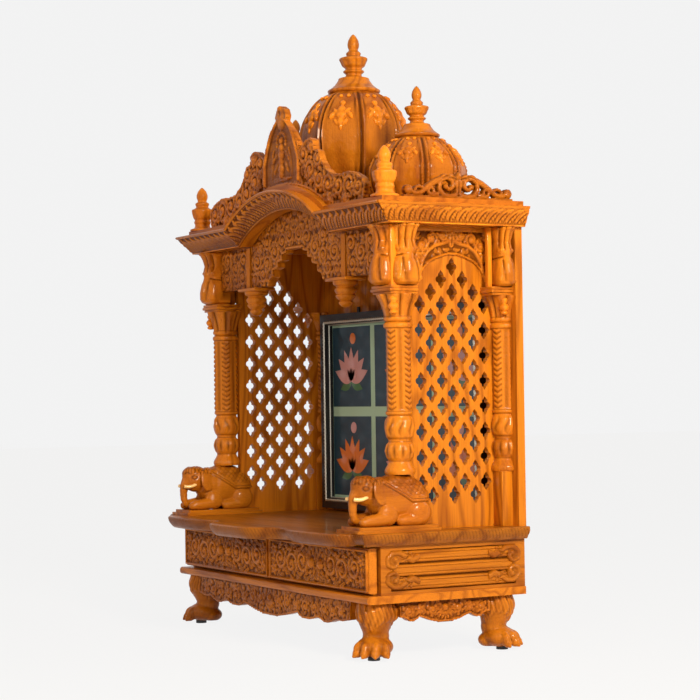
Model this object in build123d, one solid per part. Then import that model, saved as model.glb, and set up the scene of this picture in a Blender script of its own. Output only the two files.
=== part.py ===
from build123d import *
import math
import os

# A carved teak household shrine on claw feet, in millimetres, +Z up, front towards -Y.
# Depths below are measured from the middle of the ledge under the drawers.

# Levels of the base
pad_height = 8.0
foot_height = 122.0
ledge_height = 18.0
case_height = 112.0
deck_thickness = 29.0
ledge_bottom = pad_height + foot_height
case_bottom = ledge_bottom + ledge_height
deck_bottom = case_bottom + case_height
deck_top = deck_bottom + deck_thickness

# Plan sizes of the base, all widths following the deck
deck_half_width = 526.0
back_y = 214.6
ledge_half_width = deck_half_width - 22.0
ledge_front_y = -214.6
case_half_width = deck_half_width - 26.0
case_front_y = -176.0
deck_corner_y = -235.0
deck_bow = 91.0
deck_shoulder_swell = 52.0
deck_notch = 28.0

# Feet
foot_x = case_half_width - 48.0
foot_y = 166.0
foot_top_size = 84.0
foot_ankle_radius = 30.0
foot_ankle_level = 62.0
paw_reach = 62.0
toe_radius = 14.0
toe_count = 4
pad_radius = 14.0

# Aprons
apron_thickness = 18.0
apron_inset = 16.0
apron_low = 64.0
apron_high = 84.0

# Drawer case
side_thickness = 22.0
side_frame_width = 26.0
side_recess = 7.0
reed_count = 3
reed_height = 13.0
reed_proud = 5.0
divider_thickness = 18.0
case_back_thickness = 16.0

# Drawers
move_gap = 5.0
seat_gap = 0.3
drawer_front_thickness = 20.0
drawer_half_width = case_half_width - 10.0
drawer_board = 10.0
drawer_floor_thickness = 6.0
drawer_floor_raise = 8.0
drawer_box_height = 86.0
drawer_back_gap = 29.6
drawer_box_depth = back_y - case_back_thickness - drawer_back_gap - (case_front_y - move_gap)

# Walls of the shrine room
wall_top = 989.5
jali_inner_x = deck_half_width - 94.0
jali_thickness = 15.0
jali_front_y = -66.0
back_panel_thickness = 20.0
back_panel_half_width = deck_half_width - 17.0
back_panel_front_y = back_y - back_panel_thickness

# Lattice holes of the side walls
hole_centre_y = 57.0
hole_pitch_y = 58.5
hole_pitch_z = 59.1
hole_top_z = 897.0
hole_rows = 19
hole_half_width = 14.5
hole_half_height = 22.0
hole_lobe_radius = 7.5
hole_lobe_offset = 9.5

# Columns
column_x = jali_inner_x + 23.0
column_y = -95.0
column_bottom = 418.0
column_top = 830.0
abacus_size = 94.0
abacus_height = 20.0
shaft_radius = 28.0
flute_count = 12
flute_radius = 3.0

# Bracket blocks over the columns
post_size = 40.0
console_width = 38.0
console_reach = 50.0
console_tall = 138.0
bracket_bottom = column_top + abacus_height

# Rear half columns
rear_block_reach = 30.0

# Front arch board and pendants
arch_board_front_y = -118.0
arch_board_thickness = 18.0
arch_board_bottom = 882.0
strip_x = 253.0
strip_half = 9.0
strip_proud = 5.0
pendant_x = 237.0
pendant_height = 62.0
pendant_plate = 8.0

# Cornice and roof
cornice_bottom_half_width = deck_half_width - 5.0
cornice_bottom_front_y = -153.0
cornice_top_half_width = cornice_bottom_half_width + 26.0
cornice_top_front_y = -197.0
cornice_height = 46.5
slab_half_width = cornice_bottom_half_width - 3.0
slab_front_y = -170.0
slab_thickness = 14.0
cornice_top = wall_top + cornice_height
roof_z = cornice_top + slab_thickness
ceiling_half_width = jali_inner_x - 22.0
ceiling_front_y = arch_board_front_y + arch_board_thickness
ceiling_back_y = 180.0

# Hood over the arch
hood_half_width = 242.0
hood_rise = 74.0
hood_radius = (hood_half_width ** 2 + hood_rise ** 2) / (2 * hood_rise)

# Domes
dome_y = 56.0
dome_radius = 0.2645 * slab_half_width
drum_height = 86.0
dome_base_z = roof_z + drum_height
dome_widest_z = dome_base_z + 104.0
dome_collar_z = dome_widest_z + 126.0
dome_neck = 0.4525 * dome_radius
dome_swell = 2.1
small_dome_swell = 1.5
dome_gores = 8
rib_angle = 3.0
rib_proud = 3.0
drum_radius = 0.861 * dome_radius
small_dome_y = 52.0
small_dome_scale = 0.84

# Crests
crest_front_y = -158.0
crest_thickness = 18.0
side_crest_x = slab_half_width - 26.0
side_crest_thickness = 16.0

# Corner finials
finial_x = slab_half_width - 31.0
small_dome_crest_gap = 65.9
small_radius = small_dome_scale * dome_radius
small_dome_x = side_crest_x - small_dome_crest_gap - small_radius
crest_finial_gap = 72.0
crest_half_width = finial_x - crest_finial_gap
finial_y = -144.0

# Elephants
elephant_x = column_x + 2.0
elephant_front_y = -226.0
plate_height = 7.0

# Framed picture on the back wall
frame_side_gap = 36.0
frame_half_width = jali_inner_x - frame_side_gap
frame_bottom = 297.0
frame_top = 821.0
frame_member = 27.0
frame_depth = back_panel_front_y - 164.0
print_plane_sink = 24.0
hook_x = 231.0
hook_half = 6.0
hook_tall = 16.0
hook_thickness = 4.0

# Small edge roundings, and the gap left beside curved faces of other pieces
small_round = 2.0
curve_gap = 0.3

# A reach beyond every piece, for cuts
far = 2 * deck_half_width

os.makedirs("parts", exist_ok=True)


pieces = {}


def save(name, shape):
    # A piece is kept as its list of solids: like solids that don't touch share one piece.
    shapes = shape if isinstance(shape, list) else [shape]
    pieces[name] = [solid for item in shapes for solid in item.solids()]


def block(x0, x1, y0, y1, z0, z1):
    solid = Box(x1 - x0, y1 - y0, z1 - z0)
    return Pos((x0 + x1) / 2, (y0 + y1) / 2, (z0 + z1) / 2) * solid


def mirror_x(shape):
    return mirror(shape, about=Plane.YZ)


def turned(points):
    # A turned solid from (radius, height) points, about the Z axis.
    low = points[0][1]
    high = points[-1][1]
    outline = [(0, low)] + list(points) + [(0, high)]
    wire_points = [Vector(r, 0, z) for r, z in outline]
    face = make_face(Polyline(*wire_points, close=True))
    return revolve(face, Axis.Z)


def prism_xz(points, y0, y1):
    # A flat outline in the XZ plane given as (x, z), from y0 to y1.
    outline = Polyline(*[Vector(x, y0, z) for x, z in points], close=True)
    return extrude(make_face(outline), amount=y1 - y0, dir=(0, 1, 0))


def prism_yz(points, x0, x1):
    # A flat outline in the YZ plane given as (y, z), from x0 to x1.
    outline = Polyline(*[Vector(x0, y, z) for y, z in points], close=True)
    return extrude(make_face(outline), amount=x1 - x0, dir=(1, 0, 0))


def rounded_section(z, centre, half_a, half_b):
    plane = Plane(origin=(centre[0], centre[1], z), x_dir=(1, 0, 0), z_dir=(0, 0, 1))
    return plane * Ellipse(half_a, half_b)


def ellipsoid(centre, half, tilt=0):
    # Half an ellipse turned about the Y axis, then made narrower or wider across X.
    across, along, up = half
    outline = Ellipse(along, up) & (Pos(0, up) * Rectangle(along * 4, up * 2))
    solid = revolve(Plane(origin=(0, 0, 0), x_dir=(0, 1, 0), z_dir=(1, 0, 0)) * outline, Axis.Y)
    solid = scale(solid, by=(across / up, 1, 1))
    return Pos(*centre) * Rot(tilt, 0, 0) * solid


# Feet: a leg that narrows to an ankle and spreads into a paw with toes
def foot():
    # Built with the toes towards +X, then turned to the corner diagonal.
    top = foot_height
    sections = [
        rounded_section(top, (0, 0), 45, 45),
        rounded_section(top - 26, (1, 0), 44, 44),
        rounded_section(foot_ankle_level, (-3, 0), foot_ankle_radius, foot_ankle_radius),
        rounded_section(30, (5, 0), 42, 40),
        rounded_section(0, (9, 0), 47, 42),
    ]
    solid = loft(sections)
    for index in range(toe_count):
        side = (index - (toe_count - 1) / 2) / (toe_count / 2)
        angle = side * 50
        reach = paw_reach - toe_radius
        at = (reach * math.cos(math.radians(angle)), reach * math.sin(math.radians(angle)) * 0.82)
        toe = Pos(at[0] - 8, at[1], 15) * Rot(0, 0, angle * 0.6 - 90) * ellipsoid((0, 0, 0), (11.5, 24, 15))
        solid += toe
    solid &= Pos(0, 0, top / 2) * Box(200, 200, top)
    return solid


foot_shape = Pos(0, 0, pad_height) * foot()
for side_name, sx in (("left", -1), ("right", 1)):
    for end_name, sy in (("front", -1), ("back", 1)):
        heading = math.degrees(math.atan2(sy, sx))
        placed = Pos(sx * foot_x, sy * foot_y, 0) * Rot(0, 0, heading) * foot_shape
        save("foot_" + end_name + "_" + side_name, placed)

pads = []
for sx in (-1, 1):
    for sy in (-1, 1):
        pad = Cylinder(pad_radius, pad_height)
        pads.append(Pos(sx * (foot_x + 8), sy * (foot_y + 8), pad_height / 2) * pad)
save("glide_pads", pads)


# Aprons with a scalloped lower edge
def apron_outline(half, lobes):
    # lobes: (fraction of the half length, height of the lower edge)
    right = [(half * f, z) for f, z in lobes]
    left = [(-x, z) for x, z in reversed(right) if x > 0]
    lower = left + right
    return lower + [(half, ledge_bottom), (-half, ledge_bottom)]


front_lobes = [
    (0, 63), (0.1, 65), (0.2, 71), (0.3, 79), (0.36, 84), (0.38, 77), (0.42, 72), (0.48, 71), (0.54, 74),
    (0.6, 81), (0.63, 79), (0.68, 73), (0.73, 72), (0.79, 78), (0.82, 84), (0.9, 82), (1, 88),
]
side_lobes = [
    (0, 78), (0.15, 79), (0.3, 83), (0.46, 90), (0.56, 95), (0.62, 90),
    (0.72, 84), (0.8, 86), (0.88, 93), (1, 96),
]
foot_knee_radius = 45.0
apron_half_x = foot_x - foot_knee_radius - curve_gap
apron_half_y = foot_y - foot_knee_radius - curve_gap
front_face_y = -(foot_y + 34)
front_outline = apron_outline(apron_half_x, front_lobes)
save("apron_front", prism_xz(front_outline, front_face_y, front_face_y + apron_thickness))
back_face_y = -front_face_y
back_apron = block(
    -apron_half_x, apron_half_x, back_face_y - apron_thickness, back_face_y, apron_high, ledge_bottom,
)
save("apron_back", back_apron)
side_face_x = foot_x + 34
side_apron = prism_yz(apron_outline(apron_half_y, side_lobes), side_face_x - apron_thickness, side_face_x)
save("apron_right", side_apron)
save("apron_left", mirror_x(side_apron))

# Ledge board with a rounded front nose
ledge = block(-ledge_half_width, ledge_half_width, ledge_front_y, back_y, ledge_bottom, case_bottom)
nose_edges = ledge.edges().filter_by(Axis.X).group_by(Axis.Y)[0]
ledge = fillet(nose_edges, ledge_height * 0.4)
save("base_ledge", ledge)

# Sides of the drawer case: a frame, a sunk panel and reeded bands
side_outer = case_half_width
side_inner = case_half_width - side_thickness
case_side = block(side_inner, side_outer, case_front_y, back_y, case_bottom, deck_bottom)
sunk = block(
    side_outer - side_recess, side_outer + 1,
    case_front_y + side_frame_width, back_y - side_frame_width,
    case_bottom + 8, deck_bottom - 12,
)
case_side -= sunk
panel_low = case_bottom + 8
panel_high = deck_bottom - 12
for index in range(reed_count):
    middle = panel_low + (panel_high - panel_low) * (index + 0.5) / reed_count
    bar = block(
        side_outer - side_recess, side_outer - side_recess + reed_proud,
        case_front_y + side_frame_width + 40, back_y - side_frame_width - 40,
        middle - reed_height / 2, middle + reed_height / 2,
    )
    bar = chamfer(bar.edges().filter_by(Axis.Y).group_by(Axis.X)[-1], reed_proud * 0.6)
    case_side += bar
save("case_right", case_side)
save("case_left", mirror_x(case_side))

case_back = block(-side_inner, side_inner, back_y - case_back_thickness, back_y, case_bottom, deck_bottom)
save("case_back", case_back)
divider = block(
    -divider_thickness / 2, divider_thickness / 2, case_front_y, back_y - case_back_thickness,
    case_bottom, deck_bottom,
)
save("case_divider", divider)


# Drawers: an overlay front and an open box behind it
def drawer_front():
    x0 = move_gap / 2
    x1 = drawer_half_width
    y1 = case_front_y - move_gap
    y0 = y1 - drawer_front_thickness
    z0 = case_bottom + move_gap
    z1 = deck_bottom - move_gap
    front = block(x0, x1, y0, y1, z0, z1)
    front = chamfer(front.edges().group_by(Axis.Y)[0], small_round)
    return front


def drawer_box():
    x0 = divider_thickness / 2 + move_gap
    x1 = side_inner - move_gap
    y0 = case_front_y - move_gap
    y1 = y0 + drawer_box_depth
    z0 = case_bottom + seat_gap
    z1 = z0 + drawer_box_height
    box = block(x0, x1, y0, y1, z0, z1)
    inner = block(
        x0 + drawer_board, x1 - drawer_board, y0 + drawer_board, y1 - drawer_board,
        z0 + drawer_floor_raise + drawer_floor_thickness, z1 + 1,
    )
    under = block(
        x0 + drawer_board, x1 - drawer_board, y0 + drawer_board, y1 - drawer_board,
        z0 - 1, z0 + drawer_floor_raise,
    )
    return box - inner - under


front_right = drawer_front()
box_right = drawer_box()
save("drawer_front_right", front_right)
save("drawer_front_left", mirror_x(front_right))
save("drawer_box_right", box_right)
save("drawer_box_left", mirror_x(box_right))


# Deck with a serpentine front edge: two shoulders, two notches and a middle bow
def deck_front():
    half = deck_half_width
    right = [
        (0, deck_bow), (0.10 * half, deck_bow * 0.99), (0.19 * half, deck_bow * 0.90),
        (0.25 * half, deck_bow * 0.62), (0.31 * half, deck_notch), (0.42 * half, deck_shoulder_swell * 0.72),
        (0.53 * half, deck_shoulder_swell * 0.96), (0.65 * half, deck_shoulder_swell),
        (0.78 * half, deck_shoulder_swell * 0.90), (0.87 * half, deck_shoulder_swell * 0.64),
    ]
    points = [Vector(x, deck_corner_y - swell) for x, swell in right]
    left = [Vector(-point.X, point.Y) for point in reversed(points[1:])]
    shoulder_x = 0.905 * half
    left_start = Vector(-shoulder_x, deck_corner_y)
    right_end = Vector(shoulder_x, deck_corner_y)
    return Spline(left_start, *left, *points, right_end), left_start, right_end


front_curve, left_start, right_end = deck_front()
front_left = Vector(-deck_half_width, deck_corner_y)
front_right_corner = Vector(deck_half_width, deck_corner_y)
rear_right_corner = Vector(deck_half_width, back_y)
rear_left_corner = Vector(-deck_half_width, back_y)
deck_outline = [
    front_curve,
    Line(right_end, front_right_corner),
    Line(front_right_corner, rear_right_corner),
    Line(rear_right_corner, rear_left_corner),
    Line(rear_left_corner, front_left),
    Line(front_left, left_start),
]
deck = Pos(0, 0, deck_bottom) * extrude(make_face(deck_outline), amount=deck_thickness)
save("deck", deck)


# The lattice walls are let into whatever stands in front of them
wall_slot = block(jali_inner_x, jali_inner_x + jali_thickness, jali_front_y, far, deck_top, wall_top)


# Elephants, plates and tusks
def elephant():
    body = ellipsoid((0, 122, 62), (43, 78, 55))
    rump = ellipsoid((0, 160, 50), (41, 48, 50))
    head = ellipsoid((0, 42, 82), (32, 36, 34))
    solid = body + rump + head
    for sx in (-1, 1):
        solid += ellipsoid((sx * 27, 56, 78), (12, 26, 32), 10)
        solid += ellipsoid((sx * 25, 66, 16), (15, 50, 16), -3)
        solid += ellipsoid((sx * 29, 150, 18), (17, 46, 18), 3)
    trunk_path = Spline(
        Vector(0, 22, 80), Vector(0, 8, 62), Vector(0, 4, 40), Vector(0, 10, 18), Vector(0, 22, 10),
    )
    start = Plane(origin=(0, 22, 80), z_dir=trunk_path % 0)
    trunk = sweep(start * Circle(11), path=trunk_path)
    solid += trunk
    solid &= Pos(0, 110, 100) * Box(200, 300, 200)
    return solid


plate_top = deck_top + 2 * plate_height
animal = Pos(elephant_x, elephant_front_y, plate_top) * elephant()
seat_depth = 30.0
seat_radius = 36.0
seat = Pos(column_x, column_y, column_bottom - seat_depth / 2) * Cylinder(seat_radius, seat_depth)
above_seat = Pos(column_x, column_y, column_bottom + seat_depth / 2) * Cylinder(seat_radius + 4, seat_depth)
animal = animal + seat - above_seat - wall_slot
save("elephant_right", animal)
save("elephant_left", mirror_x(animal))

plates = []
for sx in (-1, 1):
    lower = block(
        elephant_x - 56, elephant_x + 50, elephant_front_y - 10, elephant_front_y + 212,
        deck_top, deck_top + plate_height,
    )
    upper = block(
        elephant_x - 48, elephant_x + 44, elephant_front_y - 2, elephant_front_y + 206,
        deck_top + plate_height, plate_top,
    )
    pair = fillet((lower + upper).edges().filter_by(Axis.Z), 6) - wall_slot
    plates.append(pair if sx > 0 else mirror_x(pair))
save("elephant_plates", plates)

tusks = []
for sx in (-1, 1):
    for side in (-1, 1):
        path = Spline(Vector(side * 22, 30, 68), Vector(side * 21, 14, 62), Vector(side * 16, -2, 63))
        start = Plane(origin=(side * 22, 30, 68), z_dir=path % 0)
        tusk = sweep(start * Circle(4.5), path=path)
        tusk = Pos(elephant_x, elephant_front_y, plate_top) * tusk - animal
        tusks.append(tusk if sx > 0 else mirror_x(tusk))
save("tusks", tusks)


# Turned columns
column_profile = [
    (34, 0), (35, 6), (33, 12), (29, 22), (26, 30), (26, 33), (31, 38), (33, 53), (31, 68), (26, 73),
    (26, 81), (30, 86), (33, 104), (32, 124), (27, 134), (32, 139), (32, 142),
]
upper_profile = [
    (32, 335), (34, 342), (32, 349), (30, 354), (31, 366), (36, 380), (43, 396), (45, 412),
]


def column():
    low = turned(column_profile)
    shaft = Pos(0, 0, (142 + 335) / 2) * Cylinder(shaft_radius, 335 - 142)
    for index in range(flute_count):
        angle = 360 / flute_count * index
        cut = Rot(0, 0, angle) * Pos(shaft_radius, 0, (142 + 335) / 2) * Cylinder(flute_radius, 335 - 162)
        shaft -= cut
    high = turned(upper_profile)
    return low + shaft + high


column_right = Pos(column_x, column_y, column_bottom) * column() - wall_slot
save("column_right", column_right)
save("column_left", mirror_x(column_right))


# Bracket blocks: a square post, an abacus and two bulbous consoles
def console():
    # An S-shaped side outline with its back at x = 0, extruded to its width.
    top = wall_top - bracket_bottom
    low = top - console_tall
    outline = [
        (console_reach * 0.9, top), (console_reach * 0.88, top - 10), (console_reach * 0.66, top - 28),
        (console_reach * 0.54, top - 46), (console_reach * 0.64, top - 64), (console_reach * 0.92, top - 84),
        (console_reach, top - 104), (console_reach * 0.88, top - 124), (console_reach * 0.55, low),
    ]
    front = Spline(*[Vector(x, 0, z) for x, z in outline])
    back_low = Vector(0, 0, low)
    back_top = Vector(0, 0, top)
    face = make_face([
        front, Line(front @ 1, back_low), Line(back_low, back_top), Line(back_top, front @ 0),
    ])
    solid = extrude(face, amount=console_width / 2, dir=(0, 1, 0), both=True)
    return Pos(0, 0, bracket_bottom) * solid


console_shape = console()


def bracket(with_front_arm):
    half = post_size / 2
    post = block(-half, half, -half, half, bracket_bottom, wall_top)
    abacus_half = abacus_size / 2
    abacus = block(-abacus_half, abacus_half, -abacus_half, abacus_half, column_top, bracket_bottom)
    abacus = chamfer(abacus.edges().group_by(Axis.Z)[0], 6)
    solid = post + abacus + Pos(half, 0, 0) * console_shape
    if with_front_arm:
        solid += Rot(0, 0, -90) * Pos(half, 0, 0) * console_shape
    return solid


bracket_right = Pos(column_x, column_y, 0) * bracket(True) - wall_slot
save("bracket_right", bracket_right)
save("bracket_left", mirror_x(bracket_right))

# Rear half columns and their brackets, in front of the back panel
rear = Pos(column_x, back_panel_front_y, column_bottom) * column()
rear_base = block(
    column_x - rear_block_reach, column_x + rear_block_reach,
    back_panel_front_y - rear_block_reach, back_panel_front_y, deck_top, column_bottom,
)
front_half = block(0, far, -far, back_panel_front_y, 0, 2 * far)
rear_right = (rear + rear_base) & front_half
wall_cut = block(0, jali_inner_x + jali_thickness, -far, far, 0, 2 * far)
inner_cut = block(jali_inner_x, far, -far, far, 0, 2 * far)
rear_outside = rear_right - wall_cut
rear_inside = rear_right - inner_cut
rear_pieces = [rear_outside, rear_inside, mirror_x(rear_outside), mirror_x(rear_inside)]
save("rear_columns", rear_pieces)

rear_bracket = Pos(column_x, back_panel_front_y, 0) * bracket(False)
rear_bracket = (rear_bracket & front_half) - wall_cut
save("rear_brackets", [rear_bracket, mirror_x(rear_bracket)])


# Side walls with a lattice of quatrefoil holes
def hole():
    # Four round lobes, the upper and lower ones drawn out to points.
    side = Pos(hole_half_width - hole_lobe_radius, 0) * Circle(hole_lobe_radius)
    upper = Pos(0, hole_lobe_offset) * Circle(hole_lobe_radius)
    tip_base = hole_lobe_offset + hole_lobe_radius * 0.6
    tip = make_face(Polyline(
        Vector(-hole_lobe_radius * 0.8, tip_base), Vector(0, hole_half_height),
        Vector(hole_lobe_radius * 0.8, tip_base), close=True,
    ))
    centre = Rectangle(hole_half_width, hole_half_height)
    half_turn = Rot(0, 0, 180)
    return side + half_turn * side + upper + half_turn * upper + tip + half_turn * tip + centre


def row_holes(row):
    if row < 4:
        return row + 1
    return 3 if row % 2 == 0 else 4


def lattice_panel():
    outer_x = jali_inner_x + jali_thickness
    panel = block(jali_inner_x, outer_x, jali_front_y, back_panel_front_y, deck_top, wall_top)
    plane = Plane(origin=(jali_inner_x - 1, 0, 0), x_dir=(0, 1, 0), z_dir=(1, 0, 0))
    sketch = Sketch()
    for row in range(hole_rows):
        count = row_holes(row)
        z = hole_top_z - row * hole_pitch_z / 2
        for index in range(count):
            y = hole_centre_y + (index - (count - 1) / 2) * hole_pitch_y
            sketch += Pos(y, z) * hole()
    cutter = extrude(plane * sketch, amount=jali_thickness + 2)
    return panel - cutter


jali_right = lattice_panel()
save("jali_right", jali_right)
save("jali_left", mirror_x(jali_right))

# Carved spandrel over the lattice, outside the wall
spandrel_x = jali_inner_x + jali_thickness
spandrel_low = bracket_bottom + 4.0
spandrel_thickness = 12.0
spandrel_front_y = -60.0
spandrel_back_y = 172.0
arch_foot = 22.0
arch_crown_z = 926.0
arch_inner = [
    (spandrel_back_y - arch_foot, spandrel_low), (hole_centre_y + 83, 882), (hole_centre_y + 63, 905),
    (hole_centre_y + 33, 919), (hole_centre_y, arch_crown_z), (hole_centre_y - 33, 919),
    (hole_centre_y - 65, 905), (hole_centre_y - 85, 882), (spandrel_front_y + arch_foot, spandrel_low),
]
arch_curve = Spline(*[Vector(spandrel_x, y, z) for y, z in arch_inner])
corners = [
    Vector(spandrel_x, y, z) for y, z in (
        (spandrel_front_y, spandrel_low), (spandrel_front_y, wall_top),
        (spandrel_back_y, wall_top), (spandrel_back_y, spandrel_low),
    )
]
rest = Polyline(arch_curve @ 1, *corners, arch_curve @ 0)
spandrel = extrude(make_face([arch_curve, rest]), amount=spandrel_thickness, dir=(1, 0, 0))
save("spandrel_right", spandrel)
save("spandrel_left", mirror_x(spandrel))

# Back panel
back_panel = block(
    -back_panel_half_width, back_panel_half_width, back_panel_front_y, back_y, deck_top, wall_top,
)
save("back_panel", back_panel)


# Front arch board with a stepped cusped arch
def hood_z(x):
    if abs(x) >= hood_half_width:
        return 0.0
    return math.sqrt(hood_radius ** 2 - x ** 2) - (hood_radius - hood_rise)


def arch_points():
    right = [
        (44, 968), (44, 961), (67, 958), (67, 944), (90, 940),
        (90, 927), (118, 922), (118, 905), (138, 898), (146, arch_board_bottom),
    ]
    left = [(-x, z) for x, z in reversed(right)]
    return left + right


board_half = column_x - post_size / 2
top_line = [(board_half, wall_top), (hood_half_width, wall_top)]
hood_steps = 20
for index in range(1, hood_steps):
    x = hood_half_width - 2 * hood_half_width * index / hood_steps
    top_line.append((x, wall_top + hood_z(x)))
top_line += [(-hood_half_width, wall_top), (-board_half, wall_top)]
bottom_line = [(-board_half, arch_board_bottom)] + arch_points() + [(board_half, arch_board_bottom)]
board_outline = bottom_line + top_line
arch_board = prism_xz(board_outline, arch_board_front_y, arch_board_front_y + arch_board_thickness)
for sx in (-1, 1):
    strip = block(
        sx * strip_x - strip_half, sx * strip_x + strip_half, arch_board_front_y - strip_proud,
        arch_board_front_y, arch_board_bottom, wall_top - 2,
    )
    arch_board += strip
save("arch_board", arch_board)

pendant_profile = [
    (11, 0), (16, 6), (18, 14), (20, 18), (24, 24), (22, 32), (26, 38), (27, 46), (24, 50), (30, 55),
    (30, pendant_height),
]
pendants = []
for sx in (-1, 1):
    drop_low = arch_board_bottom - pendant_plate - pendant_height
    drop = Pos(sx * pendant_x, arch_board_front_y + 9, drop_low) * turned(pendant_profile)
    plate = block(
        sx * pendant_x - 50, sx * pendant_x + 50, arch_board_front_y - 16, arch_board_front_y + 34,
        arch_board_bottom - pendant_plate, arch_board_bottom,
    )
    pendants.append(drop + plate)
save("pendants", pendants)


# Cornice: a sloped moulding round the front and sides, open over the room
def frame_face(half, front, z):
    depth = back_y - front
    return Plane(origin=(0, (back_y + front) / 2, z)) * Rectangle(half * 2, depth)


cornice = loft([
    frame_face(cornice_bottom_half_width, cornice_bottom_front_y, wall_top),
    frame_face(cornice_top_half_width, cornice_top_front_y, cornice_top),
], ruled=True)
cornice -= block(
    -ceiling_half_width, ceiling_half_width, ceiling_front_y, ceiling_back_y, wall_top - 1, cornice_top + 1,
)
hood_gap = block(-hood_half_width, hood_half_width, -far, ceiling_front_y, wall_top - 1, roof_z + 1)
cornice -= hood_gap
save("cornice", cornice)

slab = block(-slab_half_width, slab_half_width, slab_front_y, back_y, cornice_top, roof_z) - hood_gap
save("roof_slab", slab)


# Hood: the moulding and the roof carried over the arch
def hood_face(y, low, high):
    def arc_at(z):
        return ThreePointArc(
            Vector(-hood_half_width, y, z), Vector(0, y, z + hood_rise), Vector(hood_half_width, y, z),
        )
    bottom = arc_at(low)
    top = arc_at(high)
    right = Line(Vector(hood_half_width, y, low), Vector(hood_half_width, y, high))
    left = Line(Vector(-hood_half_width, y, high), Vector(-hood_half_width, y, low))
    return make_face([bottom, right, top, left])


lip = 3.0
front_slope = loft([
    hood_face(cornice_top_front_y, cornice_top - lip, cornice_top),
    hood_face(cornice_bottom_front_y, wall_top, cornice_top),
], ruled=True)
rear_part = loft([
    hood_face(cornice_bottom_front_y, wall_top, cornice_top),
    hood_face(ceiling_front_y, wall_top, cornice_top),
], ruled=True)
upper = loft([
    hood_face(slab_front_y, cornice_top, roof_z),
    hood_face(ceiling_front_y, cornice_top, roof_z),
], ruled=True)
hood = front_slope + rear_part + upper
save("arch_hood", hood)


# Domes
def dome_profile(radius, base, widest, collar, neck, swell):
    points = [(radius * 0.78, base), (radius * 0.90, base + (widest - base) * 0.3)]
    points.append((radius * 0.975, base + (widest - base) * 0.65))
    steps = 12
    for index in range(steps + 1):
        t = index / steps
        r = neck + (radius - neck) * (1 - t ** swell) ** 0.75
        points.append((r, widest + (collar - widest) * t))
    return points


def dome(radius, base, widest, collar, neck, swell):
    points = dome_profile(radius, base, widest, collar, neck, swell)
    solid = turned(points)
    outline = [(0, base)] + [(r + rib_proud, z) for r, z in points] + [(0, collar)]
    face = make_face(Polyline(*[Vector(r, 0, z) for r, z in outline], close=True))
    rib = revolve(face, Axis.Z, revolution_arc=rib_angle)
    for index in range(dome_gores):
        turn = 360 / dome_gores * (index + 0.5) - rib_angle / 2
        solid += Rot(0, 0, turn) * rib
    return solid


main_dome = Pos(0, dome_y, 0) * dome(
    dome_radius, dome_base_z, dome_widest_z, dome_collar_z, dome_neck, dome_swell,
)
save("main_dome", main_dome)
drum = Pos(0, dome_y, (roof_z + dome_base_z) / 2) * extrude(
    RegularPolygon(drum_radius, 8), amount=(dome_base_z - roof_z) / 2, both=True,
)
save("dome_drum", drum)

finial_profile = [
    (63, 0), (68, 6), (60, 14), (46, 24), (40, 36), (37, 40), (22, 42), (20, 50), (26, 56), (20, 62),
    (28, 68), (33, 82), (36, 86), (30, 92), (18, 94), (20, 102), (16, 108), (10, 112), (14, 120), (15, 128),
    (11, 140), (4, 150), (1, 152),
]


def finial(profile, factor):
    return turned([(r * factor, z * factor) for r, z in profile])


main_finial = Pos(0, dome_y, dome_collar_z) * finial(finial_profile, 1.0)
save("main_finial", main_finial)

small_base = roof_z
small_widest = roof_z + 84
small_neck = dome_neck * 0.78
small_collar = small_widest + 82
small_domes = []
small_finials = []
for sx in (-1, 1):
    at = Pos(sx * small_dome_x, small_dome_y, 0)
    small_domes.append(at * dome(
        small_radius, small_base, small_widest, small_collar, small_neck, small_dome_swell,
    ))
    small_finials.append(at * Pos(0, 0, small_collar) * finial(finial_profile, 0.82))
save("small_domes", small_domes)
save("small_finials", small_finials)

corner_profile = [
    (33, 0), (34, 5), (22, 8), (20, 18), (22, 24), (20, 30), (25, 36), (27, 50), (28, 56), (20, 62),
    (16, 66), (18, 74), (12, 80), (14, 90), (15, 98), (11, 108), (4, 116), (1, 118),
]
corner_finials = []
for sx in (-1, 1):
    corner_finials.append(Pos(sx * finial_x, finial_y, roof_z) * finial(corner_profile, 1.0))
save("corner_finials", corner_finials)


# Crests
def roof_line(x):
    return roof_z + hood_z(x)


crest_plan = [
    (0, 1323), (22, 1312), (30, 1296), (24, 1284), (40, 1270), (62, 1252), (84, 1226), (94, 1200),
    (128, 1222), (150, 1226), (168, 1218), (172, 1196), (196, 1190), (208, 1166), (232, 1142), (262, 1126),
    (300, 1122), (340, 1124), (374, 1116), (402, 1104), (415, 1088), (407, roof_z),
]
crest_widest = max(x for x, z in crest_plan)
crest_right = [(x * crest_half_width / crest_widest, z) for x, z in crest_plan]
crest_bottom = []
for index in range(hood_steps + 1):
    x = hood_half_width - 2 * hood_half_width * index / hood_steps
    crest_bottom.append((x, roof_line(x)))
crest_left = [(-x, z) for x, z in reversed(crest_right) if x > 0]
crest_outline = crest_left + crest_right + crest_bottom
front_crest = prism_xz(crest_outline, crest_front_y, crest_front_y + crest_thickness)
save("front_crest", front_crest - hood)

side_crest_front = -104.0
side_crest_back = 193.0
side_crest_rises = [
    (side_crest_front, 34), (-80, 40), (-50, 35), (-20, 46), (10, 59), (45, 64),
    (80, 59), (110, 46), (140, 35), (170, 40), (side_crest_back, 30),
]
crest_curve = Spline(*[Vector(side_crest_x, y, roof_z + rise) for y, rise in side_crest_rises])
crest_rest = Polyline(
    crest_curve @ 1, Vector(side_crest_x, side_crest_back, roof_z),
    Vector(side_crest_x, side_crest_front, roof_z), crest_curve @ 0,
)
side_crest = extrude(make_face([crest_curve, crest_rest]), amount=side_crest_thickness, dir=(1, 0, 0))
save("side_crests", [side_crest, mirror_x(side_crest)])

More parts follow.
